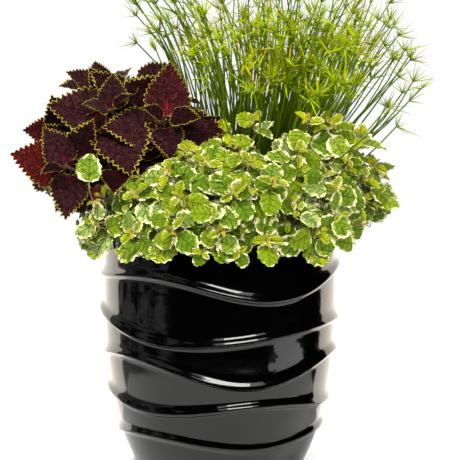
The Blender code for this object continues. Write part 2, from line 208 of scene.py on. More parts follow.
def spinProfile(profile, sides):
    bm = bmesh.new()
    ring = [bm.verts.new((radius, 0, level)) for radius, level in profile]
    edges = [bm.edges.new(pair) for pair in zip(ring, ring[1:])]
    bmesh.ops.spin(
        bm, geom=ring + edges, cent=(0, 0, 0), axis=(0, 0, 1), angle=math.tau, steps=sides, use_merge=True
    )
    bmesh.ops.remove_doubles(bm, verts=bm.verts, dist=1e-6)
    bmesh.ops.recalc_face_normals(bm, faces=bm.faces)
    return bm


# camera, floor and light

camera = {
    "target": Vector((0.016, 0, 0.380)), "distance": 4.0, "elevation": 9.5,
    "lens": 204, "sensor": 36, "clipEnd": 50,
}


def setCamera():
    data = bpy.data.cameras.new("camera")
    data.lens, data.sensor_width, data.clip_end = camera["lens"], camera["sensor"], camera["clipEnd"]
    scene.camera = newObject("camera", data)
    rise = math.tan(math.radians(camera["elevation"])) * camera["distance"]
    placeFacing(scene.camera, camera["target"] + Vector((0, -camera["distance"], rise)), camera["target"])
    scene.view_settings.view_transform = "Standard"


studio = {
    "floorRadius": 7.0, "floorSides": 96, "floorGrey": 0.92, "floorInGlaze": 0.62,
    "whiteFrom": (0.126, 0.20),  # the floor fades to plain white between these distances
    # beyond the table's edge the glaze sees the room and not the floor: how far that is in front and
    # behind, between which depths it changes, and the width of the fade
    "tableEdge": (0.60, 0.29), "tableTurn": (0.04, 0.18), "tableFade": (-0.04, 0.06),
    "ambient": 0.27,
    # white sheets behind the planter: their strength at its sides and straight behind, and where they end
    "sheets": (3.2, 2.4), "sheetTint": (1.0, 0.92, 0.82), "sheetEdge": (0.46, 0.51),
    # a grey wall at the left, where it ends, and the scale and ends of its patches
    "wall": 0.42, "wallEdge": (-0.63, -0.60), "wallPatches": (3.4, 0.40, 0.60),
    # a pale torn card on the floor: middle, radius, strength, and how finely and deeply it is torn
    "card": (Vector((0.70, -0.30, 0)), 0.23, 2.2), "cardTears": (9.0, 1.6),
    "room": 0.006,
    "seenFrom": Vector((0, -0.18, 0)),  # where the glaze's view of the room starts
    "lightsFace": Vector((0, 0, 0.40)),
}
# place, size across and up, power, colour, and whether the glaze shows it
softboxes = {
    "front": ((0.80, -2.70, 2.15), (1.6, 0.85), 66, (1, 0.985, 0.96), True),
    "frontEdge": ((0.81, -2.74, 2.18), (2.7, 1.15), 24, (1, 0.985, 0.96), True),
    "side": ((2.3, -1.3, 1.5), (0.9, 0.9), 24, (1, 0.99, 0.97), False),
    "high": ((-0.9, -1.4, 2.7), (0.7, 0.7), 150, (1, 0.99, 0.97), False),
    "rear": ((0.5, 1.4, 2.4), (1.2, 0.9), 40, (1, 1, 1), False),
}


def grey(name):
    return (studio[name],) * 3


def roomColour(tree, direction, spot):
    # what the glaze shows of the room in a level direction: sheets behind, a wall at the left, or dark
    x, y, _ = addNode(tree, "SeparateXYZ", None, Vector=direction).outputs
    behind = ramp(y, *studio["sheetEdge"])
    sheets = ramp(y, 0.5, 1.0, *studio["sheets"], smooth=False)
    sheetColour = mixColour(behind, grey("room"), studio["sheetTint"])
    scale, *ends = studio["wallPatches"]
    wall = times(maths("LESS_THAN", x, 0.0), ramp(y, *studio["wallEdge"]))
    wall = times(wall, ramp(noiseOf(tree, scale, 4, where=spot), *ends))
    colour = mixColour(wall, grey("room"), grey("wall"))
    strength = plus(times(behind, sheets), minus(1.0, behind))
    return mixColour(behind, colour, sheetColour), strength


def tornCard(tree, where):
    middle, radius, shine = studio["card"]
    scale, depth = studio["cardTears"]
    reach = maths("DISTANCE", where, middle, kind="VectorMath", result="Value")
    reach = timesPlus(noiseOf(tree, scale, where=where), radius * depth, minus(reach, radius * depth / 2))
    return ramp(reach, radius * 0.97, radius * 1.03, shine, 0.0)


def makeFloor():
    bm = bmesh.new()
    bmesh.ops.create_circle(bm, cap_ends=True, segments=studio["floorSides"], radius=studio["floorRadius"])
    obj = newObject("floor", meshFrom(bm, "floor"))
    material, tree, shader = newMaterial("paleFloor", Roughness=0.9, Specular_IOR_Level=0.0)
    path = addNode(tree, "LightPath").outputs
    join(mixColour(path["Is Glossy Ray"], grey("floorGrey"), grey("floorInGlaze")), shader, "Base Color")
    where = addNode(tree, "TexCoord").outputs["Object"]
    away = maths("LENGTH", where, kind="VectorMath", result="Value")
    seen = maths("SUBTRACT", where, studio["seenFrom"], kind="VectorMath")
    colour, strength = roomColour(tree, maths("NORMALIZE", seen, kind="VectorMath"), where)
    strength = plus(strength, maths("DIVIDE", tornCard(tree, where), studio["room"]))
    studioGlow = addNode(tree, "Emission", None, Color=colour, Strength=strength).outputs[0]
    white = addNode(tree, "Emission", None, Color=(1, 1, 1, 1)).outputs[0]
    depth = addNode(tree, "SeparateXYZ", None, Vector=where).outputs["Y"]
    edge = ramp(depth, *studio["tableTurn"], *studio["tableEdge"])
    far = times(ramp(minus(away, edge), *studio["tableFade"]), path["Is Glossy Ray"])
    pale = times(ramp(away, *studio["whiteFrom"]), path["Is Camera Ray"])
    seen = addNode(tree, "MixShader", None, n0=far, n1=shader.outputs[0], n2=studioGlow).outputs[0]
    seen = addNode(tree, "MixShader", None, n0=pale, n1=seen, n2=white).outputs[0]
    join(seen, tree.nodes["Material Output"], "Surface")
    obj.data.materials.append(material)


def makeLight():
    for name, (place, size, power, colour, shown) in softboxes.items():
        data = bpy.data.lights.new(name, "AREA")
        data.shape = "RECTANGLE"
        data.size, data.size_y = size
        data.energy, data.color = power, colour
        obj = newObject(name, data)
        placeFacing(obj, place, studio["lightsFace"])
        obj.visible_glossy = shown
    world = bpy.data.worlds.new("studio")
    scene.world = world
    world.use_nodes = True
    tree = world.node_tree
    tree.nodes.clear()
    path = addNode(tree, "LightPath").outputs
    where = addNode(tree, "TexCoord").outputs["Generated"]
    colour, strength = roomColour(tree, where, where)
    glossy = path["Is Glossy Ray"]
    seen = mixColour(path["Is Camera Ray"], mixColour(glossy, grey("ambient"), colour), (1, 1, 1))
    power = plus(times(glossy, strength), minus(1.0, glossy))
    background = addNode(tree, "Background", None, Color=seen, Strength=power)
    join(background.outputs[0], addNode(tree, "OutputWorld"), 0)


# the planter: a turned profile whose rows are then lifted into waves

planter = {
    "wall": 0.012, "floor": 0.016, "footRadius": 0.124, "flare": 0.0575, "flarePower": 3.6,
    "footInset": (0.006, 0.002), "footEdge": 0.0006,  # where the flat foot turns up into the side
    "lipRise": 0.42,  # the lip's height as a share of the wall
    "innerLevels": (0.300, 0.220, 0.150, 0.090, 0.045),
    "calmBand": 0.012,  # below the rim, where the waves die out
    "ridgeRise": 0.0068, "ridgeAbove": 0.0118, "ridgeBelow": 0.0052,
    # each ridge's level, swing up and down, waves on the way round, how far left of the front its first
    # wave lies in degrees, and how far it rides up at the left side
    "ridges": (
        (0.0715, 0.0080, 3, 38, 0.006),
        (0.1270, -0.0080, 3, 38, 0.004),
        (0.1830, 0.0170, 3, 44, 0.017),
        (0.2405, -0.0095, 2, 25, 0.018),
        (0.3150, 0.0165, 3, 32, 0.016),
    ),
    "sides": 256, "rowHeight": 0.0026,
}


def sideRadius(level):
    share = min(max(level / potHeight, 0), 1)
    return planter["footRadius"] + planter["flare"] * (1 - (1 - share) ** planter["flarePower"])


def ridgeRise(level):  # a long slope above each crest and a steep one below it
    rise = 0
    for crest, *_ in planter["ridges"]:
        reach = planter["ridgeAbove"] if level > crest else planter["ridgeBelow"]
        rise += planter["ridgeRise"] * math.exp(-(((level - crest) / reach) ** 2) * 2)
    return rise


def ridgeLift(swing, waves, turn, rideUp, bearing):
    wave = swing * math.cos(waves * (bearing + math.radians(turn)))
    return wave + rideUp * max(-math.sin(bearing), 0) ** 4


def sideLift(level, bearing):  # blended between the ridges above and below
    lifts = [(crest, ridgeLift(*ridge, bearing)) for crest, *ridge in planter["ridges"]]
    stops = [(0, 0), *lifts, (potHeight - planter["calmBand"], 0), (potHeight, 0)]
    for (low, liftLow), (high, liftHigh) in zip(stops, stops[1:]):
        if low <= level <= high:
            share = (level - low) / (high - low)
            return liftLow + (liftHigh - liftLow) * share * share * (3 - 2 * share)
    return 0


def glazeMaterial():
    material, tree, shader = newMaterial("blackGlaze", Base_Color=(0.0004, 0.0003, 0.0003, 1), IOR=1.5)
    # thin and thick glaze, which on the planter is a little dull where it ran off the crests: here the dull
    # patches lie at random
    join(ramp(noiseOf(tree, 9.0), 0.35, 0.75, 0.012, 0.045), shader, "Roughness")
    ripple = noiseOf(tree, 22.0, 2)
    pits = ramp(noiseOf(tree, 700.0, 1), 0.30, 0.42)
    addBump(shader, timesPlus(pits, 0.03, ripple), 0.00055)
    return material


def innerProfile():
    profile = [(sideRadius(level) - planter["wall"], level) for level in planter["innerLevels"]]
    return profile + [(planter["footRadius"] - planter["footInset"][1], planter["floor"])]


def makePlanter():
    wall, height = planter["wall"], potHeight - planter["calmBand"]
    flat, turned = (planter["footRadius"] - inset for inset in planter["footInset"])
    rows = int(height / planter["rowHeight"])
    levels = [0.003 + height * row / rows for row in range(rows + 1)]
    outer = [(0, 0), (flat, 0), (turned, planter["footEdge"])]
    outer += [(sideRadius(level), level) for level in levels]
    lipHeight = wall * planter["lipRise"]
    middle = Vector((sideRadius(potHeight) - wall / 2, potHeight - lipHeight))
    lip = []
    for step in range(9):  # half round
        turn = math.pi * step / 8
        lip.append((middle.x + math.cos(turn) * wall / 2, middle.y + math.sin(turn) * lipHeight))
    bm = spinProfile([*outer, *lip, *innerProfile(), (0, planter["floor"])], planter["sides"])
    for vert in bm.verts:
        level, radius = vert.co.z, vert.co.xy.length
        if 0.001 < level < potHeight - lipHeight and radius > sideRadius(level) - wall / 3:
            bearing = math.atan2(vert.co.x, -vert.co.y)
            lift = sideLift(level, bearing)
            vert.co.xy *= (sideRadius(level + lift) + ridgeRise(level)) / radius
            vert.co.z += lift
    addPiece("planterGlazed", bm, [glazeMaterial()], "black_glaze", "planter")


# the potting mix: lumps, with white grains and bark on top

mix = {
    "rings": 46, "sides": 140, "gap": 0.001, "lump": 0.0045, "sink": 0.0022, "calmEdge": 0.02,
    # count, size and shape of the grains, and of the pieces of bark
    "loose": ((170, (0.0011, 0.0026), (1, 0.8, 0.7)), (110, (0.003, 0.0065), (1, 0.45, 0.28))),
    "scatter": 0.97, "tip": 0.5, "seed": 5,
}


def soilMaterial():
    material, tree, shader = newMaterial("moistMix", Roughness=0.95)
    grain = noiseOf(tree, 260.0, 5, 0.7)
    clump = noiseOf(tree, 60.0, 4)
    colour = mixColour(ramp(grain, 0.35, 0.7), (0.012, 0.008, 0.005), (0.075, 0.045, 0.026))
    colour = mixColour(ramp(clump, 0.5, 0.8), colour, (0.030, 0.018, 0.010))
    join(colour, shader, "Base Color")
    addBump(shader, plus(grain, clump), 0.0022)
    return material


def grainMaterial(name, light, dark, scale):
    material, tree, shader = newMaterial(name, Roughness=0.85)
    join(mixColour(noiseOf(tree, scale), dark, light), shader, "Base Color")
    addBump(shader, noiseOf(tree, scale * 2, 2), 0.0004)
    return material


def makeSoil():
    edge = sideRadius(soilTop) - planter["wall"] - mix["gap"]
    top = [(edge * ring / mix["rings"], soilTop) for ring in range(mix["rings"] + 1)]
    wall = [(radius - 0.0006, level) for radius, level in innerProfile() if level < soilTop - 0.01]
    bottom = planter["floor"] + 0.0003
    wall[-1] = (wall[-1][0], bottom)
    bm = spinProfile(top + wall + [(0, bottom)], mix["sides"])
    for vert in bm.verts:
        if vert.co.z > soilTop - 0.0001:
            here = Vector((vert.co.x, vert.co.y, 0))
            lumps = noise.noise(here * 55) * 0.6 + noise.noise(here * 140) * 0.4
            fade = min((edge - vert.co.xy.length) / mix["calmEdge"], 1)
            vert.co.z += mix["lump"] * lumps * fade - mix["sink"]
    dice = random.Random(mix["seed"])
    for number, (count, sizes, shape) in enumerate(mix["loose"], 1):
        for _ in range(count):
            turn, away = dice.uniform(0, math.tau), edge * mix["scatter"] * math.sqrt(dice.random())
            size = dice.uniform(*sizes)
            place = Matrix.Translation((math.cos(turn) * away, math.sin(turn) * away, soilTop - size * 0.2))
            place @= Matrix.Rotation(dice.uniform(0, math.tau), 4, "Z")
            place @= Matrix.Rotation(eitherWay(dice, mix["tip"]), 4, "X")
            place @= Matrix.Diagonal((*shape, 1))
            made = bmesh.ops.create_icosphere(bm, subdivisions=1, radius=size, matrix=place)
            for face in {face for vert in made["verts"] for face in vert.link_faces}:
                face.material_index = number
    perlite = grainMaterial("perlite", (0.80, 0.78, 0.72), (0.55, 0.52, 0.46), 300)
    bark = grainMaterial("bark", (0.16, 0.085, 0.045), (0.035, 0.018, 0.010), 220)
    addPiece("mixLoose", bm, [soilMaterial(), perlite, bark], "potting_mix", "potting_mix", sharp=70)


# what already stands in the pot, by cells of space, so that leaves keep clear of each other

room = {
    "cell": 0.05,
    "boxMargin": 0.020,
    "rod": 0.52,  # half a stem's rod, as a share of its thickness
    "plate": 0.0009,  # half a blade's plate
    "outline": (
        (-0.08, 0.02), (-0.46, 0.34), (-0.36, 0.68), (0, 0.98), (0.36, 0.68), (0.46, 0.34), (0.08, 0.02),
    ),
    # sizes and tilts that a leaf tries in turn
    "shrinks": (1, 0.88, 0.76), "tilts": (0, 12, -12, 24, -24, 42),
}
taken = {}
square = (Vector((-1, 0, -1)), Vector((1, 0, -1)), Vector((1, 0, 1)), Vector((-1, 0, 1)))


def cellsOf(solid):
    size = room["cell"]
    x, y, z = (range(math.floor(solid[0][i] / size), math.floor(solid[1][i] / size) + 1) for i in range(3))
    return [(i, j, k) for i in x for j in y for k in z]


def isClear(solid):
    met = set()
    for key in cellsOf(solid):
        for other in taken.get(key, ()):
            if id(other) in met:
                continue
            met.add(id(other))
            apart = any(solid[0][i] > other[1][i] or other[0][i] > solid[1][i] for i in range(3))
            if not apart and solid[2].overlap(other[2]):
                return False
    return True


def takeRoom(solid):
    for key in cellsOf(solid):
        taken.setdefault(key, []).append(solid)


def asSolid(points, faces):
    low = [min(point[i] for point in points) for i in range(3)]
    high = [max(point[i] for point in points) for i in range(3)]
    return low, high, BVHTree.FromPolygons(points, faces)


def ringSolid(points, around):  # rings of so many points, joined and closed
    count = len(points)
    faces = [tuple(range(around)), tuple(range(count - 1, count - around - 1, -1))]
    for start in range(0, count - around, around):
        for corner in range(around):
            a, b = start + corner, start + (corner + 1) % around
            faces.append((a, b, b + around, a + around))
    return asSolid(points, faces)


def rod(stem, thickness):  # the room that a stem takes
    corners = [corner * thickness * room["rod"] for corner in square]
    return ringSolid([matrix @ corner for matrix in stem["frames"] for corner in corners], 4)


def plate(matrix, stalk, width, length, ahead):  # the room that a blade takes, and some ahead of it
    points = []
    for height in (-room["plate"], ahead):
        points += [matrix @ Vector((width * x, stalk + length * y, height)) for x, y in room["outline"]]
    return ringSolid(points, len(room["outline"]))


def potWalls():  # the room that the planter's wall and the top of the mix take
    rim, waist, inside = sideRadius(potHeight), 0.24, soilTop - 0.01
    inner = rim - planter["wall"]
    outer = [(sideRadius(waist), waist), (rim, potHeight)]
    bm = spinProfile(outer + [(inner, potHeight), (inner, inside), (0, inside)], 40)
    bm.verts.index_update()
    points = [vert.co.copy() for vert in bm.verts]
    faces = [[vert.index for vert in face.verts] for face in bm.faces]
    bm.free()
    return asSolid(points, faces)


# stems, and where leaves sit on them

stemShape = {"slack": 0.42, "steps": 14, "sides": 4, "taper": 0.4, "radius": 0.62}


def bearingVector(bearing):  # level, from the front round to the right
    return Vector((math.sin(bearing), -math.cos(bearing), 0))


def frameOf(origin, along, up):  # Y along, Z as near to up as it can be
    y = along.normalized()
    x = y.cross(up).normalized()
    return Matrix.Translation(origin) @ Matrix((x, y, x.cross(y))).transposed().to_4x4()


def makeStem(base, tip, start, end, turn=0.0, steps=stemShape["steps"]):
    # frames along a smooth curve, with Y along it, carried from the tip down without a twist
    base, tip = Vector(base), Vector(tip)
    pull = (tip - base).length * stemShape["slack"]
    start, end = Vector(start).normalized(), Vector(end).normalized()
    points = interpolate_bezier(base, base + start * pull, tip - end * pull, tip, steps + 1)
    tangents = [(b - a).normalized() for a, b in zip(points, points[1:])]
    tangents = [start, *[(a + b).normalized() for a, b in zip(tangents, tangents[1:])], end]
    side = Vector((1, 0, 0)) if abs(end.x) < 0.9 else Vector((0, 1, 0))
    side = Matrix.Rotation(turn, 3, end) @ (side - end * side.dot(end)).normalized()
    frames, lengths = [], [0.0]
    for point, tangent in zip(reversed(points), reversed(tangents)):
        side = (side - tangent * side.dot(tangent)).normalized()
        matrix = Matrix((side, tangent, side.cross(tangent))).transposed().to_4x4()
        frames.insert(0, Matrix.Translation(point) @ matrix)
    for a, b in zip(points, points[1:]):
        lengths.append(lengths[-1] + (b - a).length)
    return {"frames": frames, "lengths": lengths, "length": lengths[-1]}


def stemAt(stem, distance):
    distance = min(max(distance, 0), stem["length"])
    lengths = stem["lengths"]
    for i, (low, high) in enumerate(zip(lengths, lengths[1:])):
        if distance <= high:
            return stem["frames"][i].lerp(stem["frames"][i + 1], (distance - low) / (high - low))
    return stem["frames"][-1]


def leafFrame(stem, distance, facing, lift, light):
    node = stemAt(stem, distance)
    tangent = node.col[1].xyz
    outward = node.col[0].xyz * facing[0] + node.col[2].xyz * facing[1]
    along = outward * math.cos(lift) + tangent * math.sin(lift)
    normal = (tangent * math.cos(lift) - outward * math.sin(lift) + light).normalized()
    return frameOf(node.translation, along - normal * along.dot(normal), normal)


def limitAt(line, x):  # a level read off a line of (x, level) points
    for (left, low), (right, high) in zip(line, line[1:]):
        if x <= right:
            return low + (high - low) * max(x - left, 0) / (right - left)
    return line[-1][1]


def isInside(plant, point):
    # between the plant's skirt and its crown, which slopes down to the back, and within the object's box
    crown = limitAt(plant["crown"], point.x) - plant["crownSlope"] * point.y
    if not limitAt(plant["skirt"], point.x) < point.z < crown:
        return False
    margin = room["boxMargin"]
    return all(cadBox[0][i] - margin < point[i] < cadBox[1][i] + margin for i in (0, 1))


def placeLeaf(plant, stem, belowTip, leafTip, normal):
    # a leaf laid from its stem to a given tip, with the space ahead of its face kept free
    stem["topLeaf"] = max(stem.get("topLeaf", 0), stem["length"] - belowTip)
    node = stemAt(stem, stem["length"] - belowTip).translation
    along = Vector(leafTip) - node
    matrix = frameOf(node, along, Vector(normal))
    size = along.length / (plant["stalk"] + plant["blade"][1])
    width, length = plant["blade"]
    takeRoom(plate(matrix, plant["stalk"] * size, width * size, length * size, plant["ahead"]))
    return matrix, size


def seatLeaf(plant, stem, distance, facing, scale, lift, light, dice):
    # the first size and tilt at which a leaf keeps clear of all the others
    width, length = plant["blade"]
    jitter, roll, grip = plant["leanJitter"], plant["roll"], plant["grip"]
    for shrink, tilt in ((shrink, tilt) for shrink in room["shrinks"] for tilt in room["tilts"]):
        size = scale * shrink
        lean = math.radians(lift + tilt + eitherWay(dice, jitter))
        matrix = leafFrame(stem, distance, facing, lean, light * plant["pull"])
        matrix @= Matrix.Rotation(math.radians(eitherWay(dice, roll)), 4, "Y")
        if not isInside(plant, matrix @ Vector((0, (plant["stalk"] + length) * size, 0))):
            continue
        stalk, gripped = plant["stalk"] * size, (width * size * grip, length * size * grip)
        solid = plate(matrix, stalk, *gripped, room["plate"])
        if isClear(solid):
            takeRoom(solid)
            return matrix, size
    return None


def leafPairs(plant, stem, pairs, bareFoot, vigour, light, dice):
    # opposite pairs, each a quarter turn from the last
    leaves = []
    for number, (belowTip, size, lift, age) in enumerate(pairs):
        distance = stem["length"] - belowTip
        if distance < bareFoot:
            break
        for sign in (1, -1):
            facing = (sign, 0) if number % 2 else (0, sign)
            found = seatLeaf(plant, stem, distance, facing, size * vigour, lift, light, dice)
            if found:
                leaves.append((*found, age, dice.random(), "bud" if age > 0.4 else "blade"))
                stem["topLeaf"] = max(stem.get("topLeaf", 0), distance)
    return leaves


# shoots that leave a stem: how far the first may be turned, how they start and lean, and how thick they are
sideHabit = {"turn": 0.5, "start": 0.4, "lean": 0.55, "steps": 8, "thickness": 0.7, "bareFoot": 0.004}
rimRoom = {"above": 0.012, "beyond": 0.02}  # no tip goes into the rim


def sideShoot(plant, stem, number, dice):
    # a shorter shoot that leaves the stem and fills the space beside its tip
    tip = stem["frames"][-1]
    turn = math.tau * number / plant["sideShoots"] + eitherWay(dice, sideHabit["turn"])
    away = tip.col[0].xyz * math.cos(turn) + tip.col[2].xyz * math.sin(turn)
    start = stemAt(stem, stem["length"] - dice.uniform(*plant["sideStart"]))
    end = tip.translation + away * dice.uniform(*plant["sideReach"])
    end -= tip.col[1].xyz * dice.uniform(*plant["sideDrop"])
    if end.z < potHeight + rimRoom["above"] and end.xy.length < sideRadius(potHeight) + rimRoom["beyond"]:
        return None
    leave = start.col[1].xyz * sideHabit["start"] + away
    lean = tip.col[1].xyz + away * sideHabit["lean"]
    return makeStem(start.translation, end, leave, lean, dice.uniform(0, math.tau), sideHabit["steps"])


def leafOut(plant, stems):
    # for each stem, a list of (stem, leaves, thickness): the stem itself and then its side shoots
    grown = []
    for number, (stem, _, _) in enumerate(stems):
        placed = plant["placed"].get(number, ())
        leaves = [(*placeLeaf(plant, stem, *leaf[:3]), *leaf[3:], "near") for leaf in placed]
        grown.append([(stem, leaves, plant["stem"])])
    for number, (stem, light, vigour) in enumerate(stems):
        dice = random.Random(plant["leafSeed"] + number)
        pairs = plant["pairsBehind" if number in plant["placed"] else "pairs"]
        grown[number][0][1].extend(leafPairs(plant, stem, pairs, plant["bareFoot"], vigour, light, dice))
    for number, (stem, light, vigour) in enumerate(stems):
        dice = random.Random(plant["leafSeed"] + 300 + number)
        for side in range(plant["sideShoots"]):
            shoot = sideShoot(plant, stem, side, dice)
            if not shoot:
                continue
            leaves = leafPairs(plant, shoot, plant["sidePairs"], sideHabit["bareFoot"], vigour, light, dice)
            if leaves:
                grown[number].append((shoot, leaves, plant["stem"] * sideHabit["thickness"]))
    return grown


def withoutBareEnd(stem):
    end = stem.get("topLeaf", stem["length"]) + 0.001
    frames = [frame for frame, length in zip(stem["frames"], stem["lengths"]) if length < end - 0.002]
    return stem | {"frames": [*frames, stemAt(stem, end)]}


def makePlant(plant, grown, templates, materials, slot, name, node):
    # one piece for each stem, with its leaves and side shoots
    for number, shoots in enumerate(grown, 1):
        dice = random.Random(plant["stampSeed"] + number)
        bm = bmesh.new()
        leafLayers(bm)
        for stem, leaves, thickness in shoots:
            taper, sides = stemShape["taper"], stemShape["sides"]
            growStem(bm, withoutBareEnd(stem), thickness, taper, sides, 1, dice.random())
            for matrix, size, age, shade, kind in leaves:
                stampLeaf(bm, dice.choice(templates[kind]), matrix @ Matrix.Scale(size, 4), shade, age)
        addPiece(name.format(number), bm, materials, slot, node.format(number), sharp=65)
    print(slot, "pieces", len(grown), "leaves", sum(len(shoot[1]) for shoots in grown for shoot in shoots))


# leaf shapes: a grid pulled to a leaf's outline, with a second one below it, joined at the edge

def evenShares(leaf):
    # how far up the leaf each row stands, for rows evenly spaced along the leaf's edge
    steps = 400
    half, length, profile = leaf["width"] / 2, leaf["length"], leaf["profile"]
    edge = [Vector((half * profile(i / steps), length * i / steps)) for i in range(steps + 1)]
    run = [0.0]
    for a, b in zip(edge, edge[1:]):
        run.append(run[-1] + (b - a).length)
    shares, i = [], 0
    for row in range(leaf["rows"] + 1):
        goal = run[-1] * row / leaf["rows"]
        while i < steps - 1 and run[i + 1] < goal:
            i += 1
        shares.append((i + (goal - run[i]) / (run[i + 1] - run[i])) / steps)
    return shares


def flatPoint(leaf, across, share, step):
    # a leaf's point before it is bent; across is -1 and 1 at the two edges
    half, length, profile = leaf["width"] / 2, leaf["length"], leaf["profile"]
    swept = share + leaf["sweep"] * abs(across) * share * (1 - share)
    point = Vector((abs(across) * half * profile(share), length * swept))
    low, high = max(share - 0.004, 0), min(share + 0.004, 1)
    outward = Vector((length * (high - low), -half * (profile(high) - profile(low)))).normalized()
    tooth = abs(math.sin(math.pi * leaf["teeth"] * step)) - 0.5
    fade = min(step * 9, 1) * min((1 - step) * 7, 1)
    point += (outward + Vector((0, 0.35))) * leaf["toothDepth"] * tooth * fade * abs(across) ** 5
    return Vector((math.copysign(point.x, across), point.y))


def edgeDistance(point, edges):
    best = 1.0
    for a, b in edges:
        line = b - a
        share = min(max((point - a).dot(line) / max(line.length_squared, 1e-12), 0), 1)
        best = min(best, (point - a - line * share).length)
    return best


def bentPoint(leaf, bend, flat, drop):
    # folded on its midrib, quilted between its veins, ruffled at its edge, then arched to its tip
    share, side = flat.y / leaf["length"], abs(flat.x) / (leaf["width"] / 2)
    vein = abs(math.sin(math.pi * leaf["veins"] * (share - leaf["veinSlant"] * side)))
    height = bend["fold"] * abs(flat.x) * (0.75 + 0.25 * side) - drop
    height += leaf["quilt"] * vein * math.sin(math.pi * min(side, 1)) ** 0.7
    height += bend["ruffle"] * math.sin(share * 15 + (1.9 if flat.x > 0 else 0.3)) * side ** 3
    height += bend["twist"] * flat.x * share
    radius, turn = leaf["length"] / bend["arch"], bend["arch"] * share
    return Vector((
        flat.x,
        leaf["stalk"] + radius * math.sin(turn) + height * math.sin(turn),
        radius * (math.cos(turn) - 1) + height * math.cos(turn),
    ))


def leafSheet(bm, leaf, bend, columns, drop):
    # one side of a blade; drop lowers all but its edge
    made = bmesh.ops.create_grid(bm, x_segments=len(columns) - 1, y_segments=leaf["rows"], size=1)["verts"]
    inset, along, under = (bm.verts.layers.float[name] for name in ("inset", "along", "under"))
    uv = bm.loops.layers.uv["leaf"]
    shares = evenShares(leaf)
    flat = {}
    for vert in made:
        step = (vert.co.y + 1) / 2
        across = columns[round((vert.co.x + 1) / 2 * (len(columns) - 1))]
        flat[vert] = flatPoint(leaf, across, shares[round(step * leaf["rows"])], step)
        vert[along] = flat[vert].y / leaf["length"]
        vert[under] = 1.0 if drop and abs(across) < 1 else 0.0
        vert.co = bentPoint(leaf, bend, flat[vert], drop if abs(across) < 1 else 0)
    faces = {face for vert in made for face in vert.link_faces}
    rim = {edge for face in faces for edge in face.edges if edge.is_boundary}
    lines = [(flat[edge.verts[0]], flat[edge.verts[1]]) for edge in rim]
    lines = [line for line in lines if (line[0] - line[1]).length > 1e-6]
    for vert in made:
        vert[inset] = edgeDistance(flat[vert], lines)
    for face in faces:
        for loop in face.loops:
            loop[uv].uv = (flat[loop.vert].x / leaf["width"] + 0.5, flat[loop.vert].y / leaf["length"])


def leafTemplates(name, leaf):
    # one closed leaf for each of its bends
    meshes = []
    for number, bend in enumerate(leaf["bends"]):
        bm = bmesh.new()
        leafLayers(bm)
        leafSheet(bm, leaf, bend, leaf["columns"], 0)
        leafSheet(bm, leaf, bend, leaf["columnsBelow"], leaf["thickness"])
        bmesh.ops.remove_doubles(bm, verts=bm.verts, dist=leaf["thickness"] * 0.2)
        bmesh.ops.recalc_face_normals(bm, faces=bm.faces)
        addStalk(bm, leaf)
        meshes.append(meshFrom(bm, f"{name}{number}"))
    return meshes


def addStalk(bm, leaf):
    turned = Matrix.Rotation(-math.pi / 2, 4, "X")
    ring = bmesh.ops.create_circle(bm, cap_ends=True, segments=4, radius=leaf["stalkWidth"], matrix=turned)
    face = ring["verts"][0].link_faces[0]
    made = list(ring["verts"])
    length = leaf["stalk"] + leaf["length"] * 0.10
    for share, wide in ((0.4, 0.8), (1.0, 0.7)):
        face = bmesh.ops.extrude_discrete_faces(bm, faces=[face])["faces"][0]
        middle = face.calc_center_median()
        for vert in face.verts:
            vert.co = (vert.co - middle) * wide + Vector((0, length * share, -0.0004))
            made.append(vert)
    bmesh.ops.contextual_create(bm, geom=ring["verts"])
    inset = bm.verts.layers.float["inset"]
    for vert in made:
        vert[inset] = leaf["stalkInset"]


def leafLayers(bm):
    for name in ("inset", "along", "shade", "age", "under"):
        bm.verts.layers.float.new(name)
    bm.loops.layers.uv.new("leaf")


def stampLeaf(bm, template, matrix, shade, age):
    before = len(bm.verts)
    bm.from_mesh(template)
    bm.verts.ensure_lookup_table()
    verts = bm.verts[before:]
    bmesh.ops.transform(bm, matrix=matrix, verts=verts)
    shadeLayer, ageLayer = bm.verts.layers.float["shade"], bm.verts.layers.float["age"]
    for vert in verts:
        vert[shadeLayer], vert[ageLayer] = shade, age


def growTube(bm, frames, widths, sides, material, shade=0.5, span=(0.0, 1.0)):
    # a closed tube along the frames; "along" runs over span from its start to its end
    shadeLayer, alongLayer = bm.verts.layers.float["shade"], bm.verts.layers.float["along"]
    turned, radius = frames[0] @ Matrix.Rotation(-math.pi / 2, 4, "X"), widths[0] * stemShape["radius"]
    ring = bmesh.ops.create_circle(bm, cap_ends=True, segments=sides, radius=radius, matrix=turned)
    face = ring["verts"][0].link_faces[0]
    for vert in ring["verts"]:
        vert[shadeLayer], vert[alongLayer] = shade, span[0]
    face.material_index = material
    for number in range(1, len(frames)):
        face = bmesh.ops.extrude_discrete_faces(bm, faces=[face])["faces"][0]
        taper = Matrix.Scale(widths[number] / widths[number - 1], 4)
        move = frames[number] @ taper @ frames[number - 1].inverted()
        bmesh.ops.transform(bm, matrix=move, verts=face.verts)
        for vert in face.verts:
            vert[alongLayer] = span[0] + (span[1] - span[0]) * number / (len(frames) - 1)
    bmesh.ops.contextual_create(bm, geom=ring["verts"])


def growStem(bm, stem, thickness, taper, sides, material, shade=0.5):
    count = len(stem["frames"])
    widths = [thickness * (1 - taper * number / (count - 1)) for number in range(count)]
    growTube(bm, stem["frames"], widths, sides, material, shade)


# the coleus

